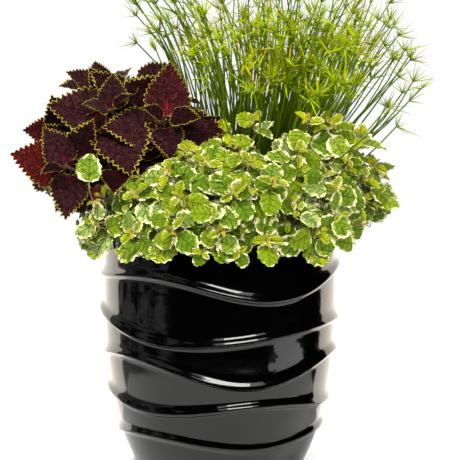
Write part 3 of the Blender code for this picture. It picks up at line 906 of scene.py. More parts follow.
coleus = {
    "blade": (0.064, 0.080), "stalk": 0.012, "stem": 0.0060, "bareFoot": 0.03, "rootDepth": 0.004,
    # how strongly leaves face the way their shoot does, how freely they roll and lean in degrees, the share
    # of a blade that keeps clear of the others, and the space kept free ahead of a leaf laid one by one
    "pull": 0.45, "roll": 18, "leanJitter": 10, "grip": 0.78, "ahead": 0.030,
    "skirt": ((-0.350, 0.500), (-0.285, 0.490), (-0.266, 0.412), (0, 0.405)), "crownSlope": 0.167,
    "crown": (
        (-0.330, 0.506), (-0.303, 0.542), (-0.290, 0.564), (-0.267, 0.585), (-0.245, 0.610), (-0.233, 0.632),
        (-0.210, 0.645), (-0.147, 0.643), (-0.074, 0.648), (-0.062, 0.629), (-0.050, 0.598), (-0.030, 0.583),
        (-0.007, 0.566), (0.006, 0.550),
    ),
    "sideShoots": 3, "sideStart": (0.100, 0.125), "sideReach": (0.050, 0.080), "sideDrop": (0.040, 0.075),
    "sidePairs": ((0.004, 0.50, 44, 0.7), (0.020, 0.88, 22, 0.3), (0.046, 1.0, 6, 0.0)),
    "leafSeed": 41, "stampSeed": 900,
    "root": Vector((-0.092, 0.014, soilTop)), "fan": 0.24,
    # distance below the tip, size, lift and age (1 is the newest) of each pair
    "pairs": (
        (0.004, 0.32, 50, 1.0), (0.014, 0.78, 30, 0.6), (0.034, 1.12, 14, 0.3),
        (0.064, 1.20, 2, 0.1), (0.104, 1.12, -8, 0.0), (0.150, 1.0, -14, 0.0),
    ),
    "pairsBehind": (
        (0.004, 0.22, 58, 1.0), (0.078, 0.95, -4, 0.0), (0.112, 1.0, -10, 0.0), (0.150, 1.0, -14, 0.0),
    ),
    # each shoot's tip, the way it faces, how far its first pair is turned, and its leaves' size
    "shoots": (
        ((-0.080, -0.078, 0.567), (0.10, -0.92, 0.38), 0, 1.0),
        ((-0.168, -0.054, 0.579), (-0.12, -0.88, 0.46), 12, 1.0),
        ((-0.242, -0.067, 0.491), (-0.40, -0.88, 0.22), 63, 1.0),
        ((-0.186, 0.045, 0.604), (-0.22, -0.50, 0.84), 40, 1.0),
        ((-0.128, 0.044, 0.604), (0.10, -0.50, 0.86), 5, 1.0),
        ((-0.252, 0.010, 0.536), (-0.40, -0.72, 0.55), 75, 1.0),
        ((-0.158, -0.100, 0.494), (0.00, -0.97, 0.22), 45, 0.9),
        ((-0.204, -0.070, 0.440), (-0.60, -0.78, 0.20), 20, 0.6),
        ((-0.196, 0.125, 0.556), (-0.40, 0.60, 0.70), 30, 1.0),
        ((-0.052, 0.006, 0.590), (0.30, -0.55, 0.78), 60, 1.0),
        ((-0.118, -0.036, 0.510), (-0.20, -0.90, 0.35), 80, 1.0),
    ),
    # leaves laid one by one on some shoots: distance below the shoot's tip, the leaf's tip, normal, age,
    # shade
    "placed": {
        0: (
            (0.030, (-0.074, -0.050, 0.649), (0.05, -0.93, 0.30), 0.2, 0.80),
            (0.030, (-0.073, -0.108, 0.510), (0.00, -0.88, 0.45), 0.1, 0.45),
            (0.011, (-0.114, -0.088, 0.586), (-0.10, -0.62, 0.78), 0.5, 0.30),
            (0.011, (-0.031, -0.088, 0.575), (0.10, -0.62, 0.78), 0.5, 0.30),
            (0.052, (0.007, -0.075, 0.556), (0.25, -0.80, 0.55), 0.0, 0.40),
            (0.052, (-0.170, -0.090, 0.562), (-0.05, -0.85, 0.55), 0.0, 0.50),
        ),
        1: (
            (0.026, (-0.163, -0.035, 0.630), (0.00, -0.90, 0.42), 0.3, 0.60),
            (0.010, (-0.204, -0.075, 0.594), (-0.20, -0.60, 0.75), 0.5, 0.45),
            (0.010, (-0.134, -0.060, 0.604), (-0.55, -0.35, 0.75), 0.5, 0.20),
            (0.042, (-0.263, -0.045, 0.586), (-0.10, -0.85, 0.50), 0.0, 0.62),
            (0.056, (-0.095, -0.012, 0.628), (0.15, -0.80, 0.55), 0.0, 0.10),
            (0.042, (-0.134, -0.125, 0.492), (0.02, -0.88, 0.50), 0.0, 0.50),
        ),
        2: (
            (0.030, (-0.268, -0.055, 0.548), (0.10, -0.90, 0.30), 0.2, 0.60),
            (0.046, (-0.195, -0.075, 0.562), (-0.30, -0.88, 0.35), 0.0, 0.25),
            (0.036, (-0.321, -0.055, 0.510), (-0.15, -0.93, 0.30), 0.0, 1.00),
            (0.010, (-0.272, -0.085, 0.488), (0.00, -0.45, 0.85), 0.5, 0.30),
            (0.010, (-0.213, -0.085, 0.500), (0.10, -0.50, 0.85), 0.5, 0.20),
            (0.030, (-0.233, -0.095, 0.417), (0.10, -0.88, 0.40), 0.0, 0.55),
            (0.052, (-0.261, -0.045, 0.419), (-0.50, -0.80, 0.30), 0.0, 0.50),
        ),
        3: (
            (0.020, (-0.236, 0.040, 0.628), (0.00, -0.60, 0.80), 0.1, 0.75),
            (0.030, (-0.247, 0.015, 0.610), (-0.10, -0.35, 0.90), 0.1, 0.40),
            (0.012, (-0.196, 0.075, 0.640), (0.00, -0.60, 0.80), 0.3, 0.55),
            (0.012, (-0.150, 0.020, 0.632), (0.00, -0.50, 0.85), 0.3, 0.65),
        ),
        4: (
            (0.020, (-0.068, 0.030, 0.638), (0.00, -0.70, 0.70), 0.1, 0.70),
        ),
        5: (
            (0.020, (-0.299, -0.020, 0.541), (-0.10, -0.90, 0.35), 0.1, 0.88),
            (0.026, (-0.258, -0.008, 0.590), (0.00, -0.90, 0.42), 0.1, 0.30),
        ),
        6: (
            (0.020, (-0.159, -0.140, 0.464), (0.00, -0.85, 0.50), 0.2, 0.15),
        ),
    },
    # each pair is for the valleys and the ridges of a leaf's relief: painted shade in the valleys and
    # painted light on the ridges, a painted purple sheen on the mauve leaves
    "colours": {
        "dark": ((0.0022, 0.0004, 0.0004), (0.019, 0.0040, 0.0046)),
        "mauve": ((0.0034, 0.0008, 0.0010), (0.050, 0.0148, 0.0168)),
        "wine": ((0.012, 0.0012, 0.0010), (0.105, 0.0085, 0.0065)),
        "veins": (0.060, 0.010, 0.020), "foot": (0.50, 0.010, 0.042),
        "edge": ((0.15, 0.13, 0.010), (0.50, 0.40, 0.045)), "newEdge": (0.42, 0.38, 0.05),
        "below": (0.10, 0.016, 0.028),
    },
    "stemColours": ((0.13, 0.07, 0.04), (0.08, 0.05, 0.03)),
}
manyColumns = (-1, -0.93, -0.78, -0.55, -0.28, 0, 0.28, 0.55, 0.78, 0.93, 1)
fewColumns = {"columns": (-1, -0.6, 0, 0.6, 1), "columnsBelow": (-1, 0, 1)}
coleusLeaf = {
    "length": 0.080, "width": 0.066, "stalk": 0.012, "stalkWidth": 0.0019, "stalkInset": 0.006,
    "thickness": 0.0005, "rows": 60, "columns": manyColumns, "columnsBelow": manyColumns,
    "teeth": 15, "toothDepth": 0.0046, "veins": 6, "veinSlant": 0.31, "quilt": 0.0022, "sweep": 0.10,
    "profile": lambda share: 2.67 * share ** 0.45 * (1 - share) ** 1.25,
    "bends": (
        {"fold": 0.24, "arch": 0.35, "twist": 0.20, "ruffle": 0.0016},
        {"fold": 0.12, "arch": 0.55, "twist": -0.24, "ruffle": 0.0022},
        {"fold": 0.34, "arch": 0.20, "twist": 0.08, "ruffle": 0.0015},
        {"fold": -0.06, "arch": 0.50, "twist": -0.10, "ruffle": 0.0024},
        {"fold": 0.18, "arch": 0.30, "twist": 0.0, "ruffle": 0.0020},
    ),
}
coleusLeafBehind = coleusLeaf | fewColumns | {"rows": 26, "teeth": 13}  # a plainer one for the rest


def leafLines(tree, leaf):
    # how far to the side; masks that are 0 on the midrib and on the side veins; and the pleats between them
    uv = addNode(tree, "UVMap", {"uv_map": "leaf"}).outputs[0]
    x, y, _ = addNode(tree, "SeparateXYZ", None, Vector=uv).outputs
    side = times(maths("ABSOLUTE", minus(x, 0.5)), 2.0)
    rise = minus(y, times(side, leaf["veinSlant"]))
    wave = maths("ABSOLUTE", maths("SINE", times(rise, math.pi * leaf["veins"])))
    bent = timesPlus(noiseOf(tree, 70.0, 2), 0.12, rise)
    pleats = maths("ABSOLUTE", maths("SINE", times(bent, math.pi * leaf["veins"] * 3)))
    return side, ramp(side, 0.010, 0.060), ramp(wave, 0.0, 0.32), pleats


def coleusLeafMaterial():
    colours = coleus["colours"]
    material, tree, shader = newMaterial("coleusLeaf", Roughness=0.42, Specular_IOR_Level=0.08)
    inset, along, shade, age, under = attributes(tree, "inset", "along", "shade", "age", "under")
    side, midrib, veins, pleats = leafLines(tree, coleusLeaf)
    between = times(midrib, veins)
    net = ramp(noiseOf(tree, 170.0, 4, 0.65), 0.34, 0.66)
    relief = timesPlus(pleats, 0.32, times(net, 0.68))
    # painted shade in the relief's valleys and painted light on its ridges
    dark, mauve, wine = (mixColour(relief, *colours[name]) for name in ("dark", "mauve", "wine"))
    colour = mixColour(ramp(shade, 0.20, 0.60), dark, mauve)
    colour = mixColour(ramp(shade, 0.68, 1.0), colour, wine)
    colour = mixColour(timesPlus(between, -0.3, 0.3), colour, colours["veins"])
    # on some leaves crimson at the foot of the midrib and of the lower veins
    foot = ramp(timesPlus(side, 0.55, along), 0.06, 0.36, 1.0, 0.0)
    glow = times(foot, timesPlus(between, -0.9, 1.0))
    glow = times(glow, ramp(shade, 0.50, 0.85, 0.25, 1.0))
    colour = mixColour(glow, colour, colours["foot"])
    # the lime edge is uneven, and wider on some leaves
    ragged = timesPlus(noiseOf(tree, 150.0, 2), 0.0016, -0.0008)
    border = ramp(plus(plus(inset, ragged), timesPlus(shade, 0.0007, -0.0004)), 0.0004, 0.0010)
    lime = mixColour(noiseOf(tree, 80.0, 2), *colours["edge"])
    lime = mixColour(times(age, 0.5), lime, colours["newEdge"])
    colour = mixColour(border, lime, colour)
    join(mixColour(times(under, 0.7), colour, colours["below"]), shader, "Base Color")
    addBump(shader, plus(relief, between), 0.0034)
    return material


def stalkMaterial(name, young, old):
    material, tree, shader = newMaterial(name, Roughness=0.45)
    streak = noiseOf(tree, 160.0)
    colour = mixColour(attributes(tree, "along")[0], old, young)
    colour = mixColour(times(streak, 0.6), colour, tuple(part * 0.55 for part in old))
    join(colour, shader, "Base Color")
    addBump(shader, streak, 0.0004)
    return material


def coleusStems():
    stems = []
    for tip, facing, turn, vigour in coleus["shoots"]:
        base = coleus["root"].lerp(Vector(tip), coleus["fan"])
        base.z = soilTop - coleus["rootDepth"]
        stem = makeStem(base, tip, (0, 0, 1), facing, math.radians(turn))
        stems.append((stem, stem["frames"][-1].col[1].xyz, vigour))
    return stems


def makeColeus(stems):
    plain = leafTemplates("coleusBlade", coleusLeafBehind)
    templates = {"near": leafTemplates("coleusNear", coleusLeaf), "blade": plain, "bud": plain}
    materials = [coleusLeafMaterial(), stalkMaterial("coleusStem", *coleus["stemColours"])]
    grown = leafOut(coleus, stems)
    makePlant(coleus, grown, templates, materials, "coleus_leaf", "coleusShoot{}", "coleus_shoot_{}")


# the Swedish ivy

ivy = {
    "blade": (0.037, 0.040), "stalk": 0.008, "stem": 0.0024, "bareFoot": 0.02, "rootDepth": 0.003,
    "pull": 0.7, "roll": 26, "leanJitter": 14, "grip": 0.70, "ahead": 0.012,
    "placed": {}, "crownSlope": 0.167,
    "skirt": (
        (-0.260, 0.372), (-0.200, 0.354), (-0.120, 0.362), (0.060, 0.364), (0.160, 0.358), (0.205, 0.366),
        (0.232, 0.424), (0.300, 0.430),
    ),
    "crown": (
        (-0.230, 0.360), (-0.222, 0.400), (-0.210, 0.440), (-0.180, 0.452), (-0.140, 0.456), (-0.122, 0.484),
        (-0.090, 0.488), (-0.050, 0.506), (-0.026, 0.528), (0.040, 0.535), (0.058, 0.508), (0.074, 0.496),
        (0.100, 0.530), (0.125, 0.542), (0.160, 0.548), (0.184, 0.536), (0.200, 0.520), (0.240, 0.504),
        (0.262, 0.478), (0.280, 0.452),
    ),
    "sideShoots": 2, "sideStart": (0.045, 0.060), "sideReach": (0.030, 0.046), "sideDrop": (0.004, 0.022),
    "leafSeed": 300, "stampSeed": 1200, "seed": 908,
    # the mound: its level, how far out it goes, and how much further at the right and at both sides
    "base": 0.412, "reach": 0.206, "lean": 0.022, "width": 0.032,
    "rise": 0.128, "tiltRight": 0.010, "tiltLeft": 0.050, "flatness": 1.6, "dip": 0.22, "belowCrown": 0.020,
    "bearingJitter": 3, "climbJitter": 4, "reachJitter": 0.006, "upturn": 0.30,
    # leaves are drawn to the light: outward, up, and forward in the middle and at the sides
    "lightOut": 0.4, "lightUp": 0.6, "lightFront": (0.6, 0.8),
    # tiers up the mound: climb angle, first and last bearing from the front, count, root radius
    "tiers": (
        (-3, -92, 94, 9, 0.124), (17, -98, 104, 9, 0.108), (38, -62, 96, 7, 0.086), (64, -36, 92, 4, 0.052),
        (8, 112, 250, 6, 0.128),
    ),
    # distance below the tip, size, lift and age of each pair
    "pairs": (
        (0.001, 0.24, 56, 1.0), (0.006, 0.50, 40, 0.55), (0.018, 0.96, 22, 0.15),
        (0.038, 1.22, 10, 0.0), (0.066, 1.24, 0, 0.0), (0.098, 1.10, -8, 0.0),
    ),
    "sidePairs": ((0.002, 0.32, 54, 0.70), (0.012, 0.80, 28, 0.15), (0.032, 1.14, 8, 0.0)),
    # small shoots that stand out of the mound: which stem each leaves, its tip and its leaves' size, which
    # is 0 for the one with the stray leaf
    "sprigs": (
        (1, (-0.196, -0.126, 0.469), 0), (30, (0.052, -0.095, 0.566), 0.9),
        (29, (0.008, -0.085, 0.546), 1.1), (31, (0.134, -0.090, 0.562), 1.2),
        (31, (0.168, -0.080, 0.556), 1.2), (24, (0.214, -0.080, 0.540), 1.1),
        (8, (0.238, -0.060, 0.492), 1.0), (11, (-0.046, -0.130, 0.528), 0.8),
        (17, (0.240, -0.060, 0.448), 1.1),
    ),
    "sprigPairs": (
        (0.001, 0.24, 56, 1.0), (0.006, 0.46, 40, 0.8), (0.018, 0.80, 22, 0.3), (0.034, 0.95, 10, 0.1),
    ),
    "sprigStart": 0.55, "sprigLean": (0, -0.45, 1), "sprigLight": Vector((0, -1.3, 0.5)),
    "freeCrown": ((-1, 1), (1, 1)),  # sprigs may stand above the crown
    "strayLeaf": (0.002, (-0.194, -0.137, 0.517), (-0.1, -0.96, 0.25)),  # the one before the coleus
    "colours": {
        # the pairs are for the valleys and the ridges of a leaf's relief: painted shade in the valleys and
        # painted light on the ridges
        "green": ((0.040, 0.090, 0.003), (0.205, 0.325, 0.016)), "deep": (0.044, 0.112, 0.004),
        # the vein colours are painted shade in the creases along the veins, and the whitish green is a
        # painted sheen on the pleats
        "yellow": (0.235, 0.310, 0.006), "veins": (0.030, 0.070, 0.002), "bloom": (0.44, 0.51, 0.24),
        "pale": (0.34, 0.41, 0.07), "cream": (0.86, 0.80, 0.44),
        "new": ((0.30, 0.36, 0.005), (0.60, 0.64, 0.016)), "newVeins": (0.20, 0.26, 0.004),
        "newEdge": (0.90, 0.86, 0.36), "newest": (0.66, 0.50, 0.030), "below": (0.22, 0.30, 0.10),
    },
    "stemColours": ((0.30, 0.13, 0.08), (0.18, 0.08, 0.06)),
}
ivyLeaf = fewColumns | {
    "length": 0.040, "width": 0.037, "stalk": 0.008, "stalkWidth": 0.0009, "stalkInset": 0.006,
    "thickness": 0.0005, "rows": 12,
    "teeth": 6, "toothDepth": 0.0019, "veins": 4, "veinSlant": 0.36, "quilt": 0.0015, "sweep": 0.06,
    "profile": lambda share: 1.90 * share ** 0.42 * (1 - share) ** 0.55,
    "bends": (
        {"fold": 0.22, "arch": 0.55, "twist": 0.25, "ruffle": 0.0012},
        {"fold": -0.22, "arch": 0.40, "twist": -0.20, "ruffle": 0.0016},
        {"fold": 0.06, "arch": 0.80, "twist": 0.30, "ruffle": 0.0016},
        {"fold": 0.34, "arch": 0.25, "twist": -0.12, "ruffle": 0.0012},
        {"fold": -0.10, "arch": 0.70, "twist": 0.0, "ruffle": 0.0020},
        {"fold": 0.14, "arch": 0.45, "twist": -0.30, "ruffle": 0.0018},
    ),
}
ivyBud = ivyLeaf | {
    "width": 0.027, "rows": 10, "teeth": 5, "toothDepth": 0.0024,
    "bends": (
        {"fold": 0.62, "arch": 0.60, "twist": 0.10, "ruffle": 0.0010},
        {"fold": 0.80, "arch": 0.30, "twist": -0.15, "ruffle": 0.0010},
    ),
}


def ivyLeafMaterial():
    colours = ivy["colours"]
    material, tree, shader = newMaterial("ivyLeaf", Roughness=0.42, Specular_IOR_Level=0.10)
    inset, shade, age, under = attributes(tree, "inset", "shade", "age", "under")
    _, midrib, veins, pleats = leafLines(tree, ivyLeaf)
    between = times(midrib, veins)
    crinkles = ramp(noiseOf(tree, 190.0, 4, 0.6), 0.32, 0.68)
    relief = timesPlus(pleats, 0.45, times(crinkles, 0.55))
    # painted shade in the relief's valleys and painted light on its ridges
    green = mixColour(relief, *colours["green"])
    green = mixColour(ramp(shade, 0.34, 0.46, 0.0, 0.50), green, colours["deep"])
    green = mixColour(ramp(shade, 0.62, 0.95, 0.0, 0.60), green, colours["yellow"])
    # painted shade in the creases along the veins
    green = mixColour(timesPlus(between, -0.45, 0.45), green, colours["veins"])
    # a painted sheen: pale highlights on the pleats of some leaves
    bloom = times(times(relief, between), ramp(shade, 0.36, 0.0, 0.0, 0.62))
    green = mixColour(bloom, green, colours["bloom"])
    # the cream edge reaches in unevenly, further on some leaves, with a paler green where it fades
    ragged = ramp(noiseOf(tree, 78.0, 4, 0.65), 0.33, 0.67, -0.0042, 0.0036)
    reach = plus(plus(inset, ragged), timesPlus(shade, 0.0036, -0.0010))
    colour = mixColour(ramp(reach, 0.0014, 0.0044), colours["pale"], green)
    colour = mixColour(ramp(reach, 0.0004, 0.0018), colours["cream"], colour)
    # new leaves are yellower, and the newest golden; their relief gets painted shade in its valleys and vein
    # creases and painted light on its ridges
    fresh = mixColour(relief, *colours["new"])
    fresh = mixColour(timesPlus(between, -0.4, 0.4), fresh, colours["newVeins"])
    fresh = mixColour(ramp(reach, -0.0004, 0.0022), colours["newEdge"], fresh)
    fresh = mixColour(ramp(age, 0.82, 1.0, 0.0, 0.70), fresh, colours["newest"])
    colour = mixColour(ramp(age, 0.10, 0.9), colour, fresh)
    join(mixColour(times(under, 0.40), colour, colours["below"]), shader, "Base Color")
    addBump(shader, plus(relief, between), 0.0030)
    return material


def ivyRunner(climb, bearing, root, dice):
    # one runner on a mound that leans over the planter's rim, and the way its leaves are drawn
    bearing = math.radians(bearing + eitherWay(dice, ivy["bearingJitter"]))
    rise = math.radians(climb + eitherWay(dice, ivy["climbJitter"]))
    outward = bearingVector(bearing)
    side = math.sin(bearing)
    reach = ivy["reach"] + ivy["lean"] * side + ivy["width"] * side * side
    reach += eitherWay(dice, ivy["reachJitter"])
    tip = outward * reach * math.cos(rise)
    height = ivy["rise"] + (ivy["tiltRight"] if side > 0 else ivy["tiltLeft"]) * side
    height *= math.tanh(ivy["flatness"] * math.sin(rise)) / math.tanh(ivy["flatness"])
    tip.z = ivy["base"] + height * (1 - ivy["dip"] * math.sin(rise) ** 4)
    highest = limitAt(ivy["crown"], tip.x) - ivy["crownSlope"] * tip.y - ivy["belowCrown"]
    tip.z = min(tip.z, highest)
    base = outward * root + Vector((0, 0, soilTop - ivy["rootDepth"]))
    end = outward * math.cos(rise) + Vector((0, 0, ivy["upturn"] + math.sin(rise)))
    forward, aside = ivy["lightFront"]
    out = outward * ivy["lightOut"]
    front = Vector((0, -forward - aside * abs(side), 0)) if math.cos(bearing) > -0.3 else out
    light = out + front + Vector((0, 0, ivy["lightUp"]))
    return makeStem(base, tip, (0, 0, 1), end, dice.uniform(0, math.tau)), light, 1.0


def ivyStems():
    stems = []
    for climb, first, last, count, root in ivy["tiers"]:
        for number in range(count):
            dice = random.Random(ivy["seed"] + len(stems))
            bearing = first + (last - first) * ((number + 0.5) / count)
            stems.append(ivyRunner(climb, bearing, root, dice))
    return stems


def ivySprig(stems, number):
    host, tip, size = ivy["sprigs"][number]
    stem = stems[host][0]
    start = stemAt(stem, stem["length"] * ivy["sprigStart"])
    tip = Vector(tip)
    sprig = makeStem(start.translation, tip, tip - start.translation, ivy["sprigLean"], number * 0.9, 8)
    takeRoom(rod(sprig, ivy["stem"]))
    if not size:
        leaves = [(*placeLeaf(ivy, sprig, *ivy["strayLeaf"]), 0.0, 0.3, "blade")]
    else:
        free, dice = ivy | {"crown": ivy["freeCrown"]}, random.Random(number)
        bareFoot = sideHabit["bareFoot"]
        leaves = leafPairs(free, sprig, ivy["sprigPairs"], bareFoot, size, ivy["sprigLight"], dice)
    return sprig, leaves, ivy["stem"] * sideHabit["thickness"]


def makeIvy(stems):
    templates = {"blade": leafTemplates("ivyBlade", ivyLeaf), "bud": leafTemplates("ivyBud", ivyBud)}
    materials = [ivyLeafMaterial(), stalkMaterial("ivyStem", *ivy["stemColours"])]
    sprigs = [ivySprig(stems, number) for number in range(len(ivy["sprigs"]))]
    grown = leafOut(ivy, stems)
    for (host, _, _), sprig in zip(ivy["sprigs"], sprigs):
        grown[host].append(sprig)
    makePlant(ivy, grown, templates, materials, "ivy_leaf", "ivyRunner{:02d}", "ivy_runner_{:02d}")


# the dwarf papyrus

papyrus = {
    "rhizomes": 12, "rhizome": 0.008, "rhizomeLength": 0.034, "seed": 337,
    "turns": (0.4, 2.1, 0.9, 2.6, 1.2, 0.2, 1.9, 2.8, 1.1, 0.3, 1.6, 2.3),  # which way each rhizome lies
    "turnJitter": 0.1,
    # culms on each rhizome: with heads, young bare ones, and those of the first that stand on the rhizome
    "culmsEach": 26, "youngEach": 14, "rooted": 5, "culm": 0.0030,
    "root": Vector((0.050, 0.072, soilTop)), "clump": 0.062, "beside": (0.004, 0.012), "rootDepth": 0.003,
    "crown": Vector((0.096, 0.092, 0.690)), "spread": 3.2, "widen": 0.2, "drop": 2.6,
    # how much heads differ: in reach, and in x, y and upwards; beside the rhizome in x, y and downwards too
    "reachRange": (0.8, 1.2), "headJitter": (0.030, 0.02, 0.10), "besideJitter": (0.035, 0.035, 0.15),
    # heads keep between these sides and above this line, which clears the coleus and the ivy
    "leftLimit": -0.136, "rightLimit": 0.324, "rearLimit": 0.350, "inwardJitter": 0.05,
    "lowest": (
        (-0.300, 0.66), (-0.060, 0.655), (-0.035, 0.610), (0.210, 0.590), (0.270, 0.535), (0.400, 0.535),
    ),
    "lowestJitter": 0.10,
    "youngShare": 0.62, "youngHeight": (0.520, 0.610), "youngTaper": 0.9, "taper": 0.35,
    "sway": 0.16, "startLean": 0.35, "endLean": 0.9,
    # rays in each head, how wide they open in degrees, their length, and how many long bracts
    "heads": {
        "spray": (11, 74, 0.014, 0.042, 2), "brush": (8, 36, 0.012, 0.032, 1), "young": (0, 0, 0, 0, 0),
    },
    "brushes": 0.4, "dryHeads": 0.2,
    "rayWidth": (0.0011, 0.0020), "rayBends": (-0.08, -0.22, -0.42, 0.08),
    "bracts": (0.026, 0.050), "bractTilt": (45, 90), "bractWidth": 0.0034,
    # the culms' colours at the foot and higher up: the dark foot is painted shade
    "stemColours": ((0.003, 0.009, 0.0002), (0.042, 0.090, 0.0008)),
    "colours": {
        "lit": (0.165, 0.222, 0.0020), "rays": (0.215, 0.272, 0.002), "dry": (0.40, 0.17, 0.030),
        "streaks": (0.04, 0.075, 0.001),
    },
}
goldenAngle = math.radians(137.5)


def sunflower(number, count, radius):
    turn = number * goldenAngle
    return Vector((math.cos(turn), math.sin(turn), 0)) * radius * math.sqrt((number + 0.5) / count)


def papyrusMaterial():
    colours = papyrus["colours"]
    material, tree, shader = newMaterial("papyrusGreen", Roughness=0.45, Specular_IOR_Level=0.02)
    along, shade, age = attributes(tree, "along", "shade", "age")
    # along runs from 0 to 1 up a stem and on from 1 to 2 out along a ray
    # painted shade: the culms darken towards their feet, in the dense foot of the clump
    colour = mixColour(ramp(along, 0.05, 0.95), *papyrus["stemColours"])
    lit = times(ramp(shade, 0.25, 1.0), ramp(along, 0.30, 1.0, 0.03, 0.7))
    colour = mixColour(lit, colour, colours["lit"])
    colour = mixColour(ramp(along, 0.95, 1.4), colour, colours["rays"])
    colour = mixColour(times(age, ramp(along, 1.4, 1.95)), colour, colours["dry"])
    streak = noiseOf(tree, 240.0, 2)
    join(mixColour(times(streak, 0.3), colour, colours["streaks"]), shader, "Base Color")
    addBump(shader, streak, 0.0003)
    return material


def rayTemplate(name, bend):
    # one ray, a metre long and a metre wide, to be scaled: three-sided, tapering to a point
    bm = bmesh.new()
    leafLayers(bm)
    frames, widths = [], []
    for step in range(4):
        share = step / 3
        turn = Matrix.Rotation(math.atan(bend * 2 * share), 4, "X")
        frames.append(Matrix.Translation((0, share, bend * share * share)) @ turn)
        widths.append(1 - 0.88 * share ** 1.6)
    growTube(bm, frames, widths, 3, 0, span=(1.0, 2.0))
    bmesh.ops.recalc_face_normals(bm, faces=bm.faces)
    return meshFrom(bm, name)


def addRay(bm, template, hub, turn, tilt, length, width, shade, dry):
    lean = Matrix.Rotation(turn, 4, "Y") @ Matrix.Rotation(tilt, 4, "X")
    stampLeaf(bm, template, hub @ lean @ Matrix.Diagonal((width, length, width * 0.5, 1)), shade, dry)


def addHead(bm, hub, kind, templates, dice):
    count, spread, short, long, bracts = papyrus["heads"][kind]
    dry = 1.0 if dice.random() < papyrus["dryHeads"] else 0.05
    for number in range(count):
        tilt = math.radians(spread) * math.sqrt((number + 0.5) / count) * dice.uniform(0.8, 1.15)
        turn = number * goldenAngle + eitherWay(dice, 0.4)
        length = dice.uniform(short, long)
        template, width = dice.choice(templates), dice.uniform(*papyrus["rayWidth"])
        addRay(bm, template, hub, turn, tilt, length, width, dice.random(), dry)
    for _ in range(bracts):
        tilt = math.radians(dice.uniform(*papyrus["bractTilt"]))
        length = dice.uniform(*papyrus["bracts"])
        template, turn = dice.choice(templates), dice.uniform(0, math.tau)
        addRay(bm, template, hub, turn, tilt, length, papyrus["bractWidth"], dice.random(), dry)


def papyrusRhizome(number):
    dice = random.Random(papyrus["seed"] + number)
    centre = papyrus["root"] + sunflower(number, papyrus["rhizomes"], papyrus["clump"])
    turn = papyrus["turns"][number] + eitherWay(dice, papyrus["turnJitter"])
    across = Vector((math.cos(turn), math.sin(turn), 0))
    half = across * papyrus["rhizomeLength"] / 2
    return makeStem(centre - half, centre + half, across, across)


def culmBase(rhizome, slot, dice):
    if slot < papyrus["rooted"]:
        base = stemAt(rhizome, rhizome["length"] * (slot + 0.5) / papyrus["rooted"]).translation
        base.z += papyrus["rhizome"] * 0.5
    else:
        base = stemAt(rhizome, rhizome["length"] * dice.random()).translation
        base += bearingVector(dice.uniform(0, math.tau)) * dice.uniform(*papyrus["beside"])
        base.z = soilTop - papyrus["rootDepth"]
    return base


def culmHead(away, rooted, dice):
    # where a culm's head stands, for a foot that is so far away from the clump's middle
    wide, deep, up = papyrus["headJitter"]
    head = papyrus["crown"] + away * papyrus["spread"] * dice.uniform(*papyrus["reachRange"])
    head.x += away.x * papyrus["widen"] + eitherWay(dice, wide)
    head.y += eitherWay(dice, deep)
    edge = away.length / papyrus["clump"]
    head.z -= papyrus["drop"] * away.length * edge * 0.5 - dice.uniform(0, up)
    if not rooted:
        wide, deep, down = papyrus["besideJitter"]
        head += Vector((eitherWay(dice, wide), eitherWay(dice, deep), -dice.uniform(0, down)))
    inward = dice.uniform(0, papyrus["inwardJitter"])
    head.x = max(min(head.x, papyrus["rightLimit"] - inward), papyrus["leftLimit"] + inward)
    lowest = limitAt(papyrus["lowest"], head.x)
    if head.z < lowest:
        head.z = lowest + dice.uniform(0, papyrus["lowestJitter"])
    head.y = min(head.y, papyrus["rearLimit"])
    return head


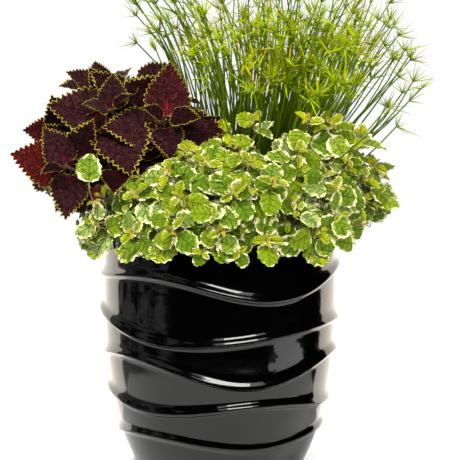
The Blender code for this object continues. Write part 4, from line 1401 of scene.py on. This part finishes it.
def papyrusCulm(number, slot, rhizome):
    dice = random.Random(papyrus["seed"] * 1000 + number * 60 + slot)
    young = slot >= papyrus["culmsEach"]
    base = culmBase(rhizome, slot, dice)
    away = base - papyrus["root"]
    away.z = 0
    head = culmHead(away, slot < papyrus["rooted"], dice)
    if young:
        head = base.lerp(head, papyrus["youngShare"])
        head.z = dice.uniform(*papyrus["youngHeight"])
    sway = [eitherWay(dice, papyrus["sway"]) for _ in range(4)]
    start = away / papyrus["clump"] * papyrus["startLean"] + Vector((sway[0], sway[1], 1))
    lean = away / papyrus["clump"] * papyrus["endLean"] + Vector((sway[2] * 2, sway[3] * 2, 1))
    culm = makeStem(base, head, start, lean, away.length / papyrus["clump"], 7)
    kind = "brush" if dice.random() < papyrus["brushes"] else "spray"
    return culm, "young" if young else kind, dice


def papyrusTuft(number):
    rhizome = papyrusRhizome(number)
    slots = range(papyrus["culmsEach"] + papyrus["youngEach"])
    return rhizome, [papyrusCulm(number, slot, rhizome) for slot in slots]


def makePapyrus(tufts):
    material = papyrusMaterial()
    templates = [rayTemplate(f"ray{i}", bend) for i, bend in enumerate(papyrus["rayBends"])]
    for number, (rhizome, culms) in enumerate(tufts, 1):
        bm = bmesh.new()
        leafLayers(bm)
        growTube(bm, rhizome["frames"], [papyrus["rhizome"]] * len(rhizome["frames"]), 6, 0)
        for culm, kind, dice in culms:
            taper = papyrus["youngTaper" if kind == "young" else "taper"]
            growStem(bm, culm, papyrus["culm"], taper, 3, 0, dice.random())
            addHead(bm, culm["frames"][-1], kind, templates, dice)
        name, node = f"papyrusTuft{number:02d}", f"papyrus_tuft_{number:02d}"
        addPiece(name, bm, [material], "papyrus_green", node, sharp=80)
    print("papyrus tufts", len(tufts), "culms", sum(len(culms) for _, culms in tufts))


setCamera()
makeFloor()
makeLight()
makePlanter()
print("planter done")
makeSoil()
print("potting mix done")

coleusShoots = coleusStems()
ivyRunners = ivyStems()
papyrusTufts = [papyrusTuft(number) for number in range(papyrus["rhizomes"])]
takeRoom(potWalls())
for stem, _, _ in coleusShoots:
    takeRoom(rod(stem, coleus["stem"]))
for stem, _, _ in ivyRunners:
    takeRoom(rod(stem, ivy["stem"]))
for _, culms in papyrusTufts:
    for culm, _, _ in culms:
        takeRoom(rod(culm, papyrus["culm"]))
makePapyrus(papyrusTufts)
makeColeus(coleusShoots)
makeIvy(ivyRunners)

for template in [mesh for mesh in bpy.data.meshes if mesh.users == 0]:
    bpy.data.meshes.remove(template)
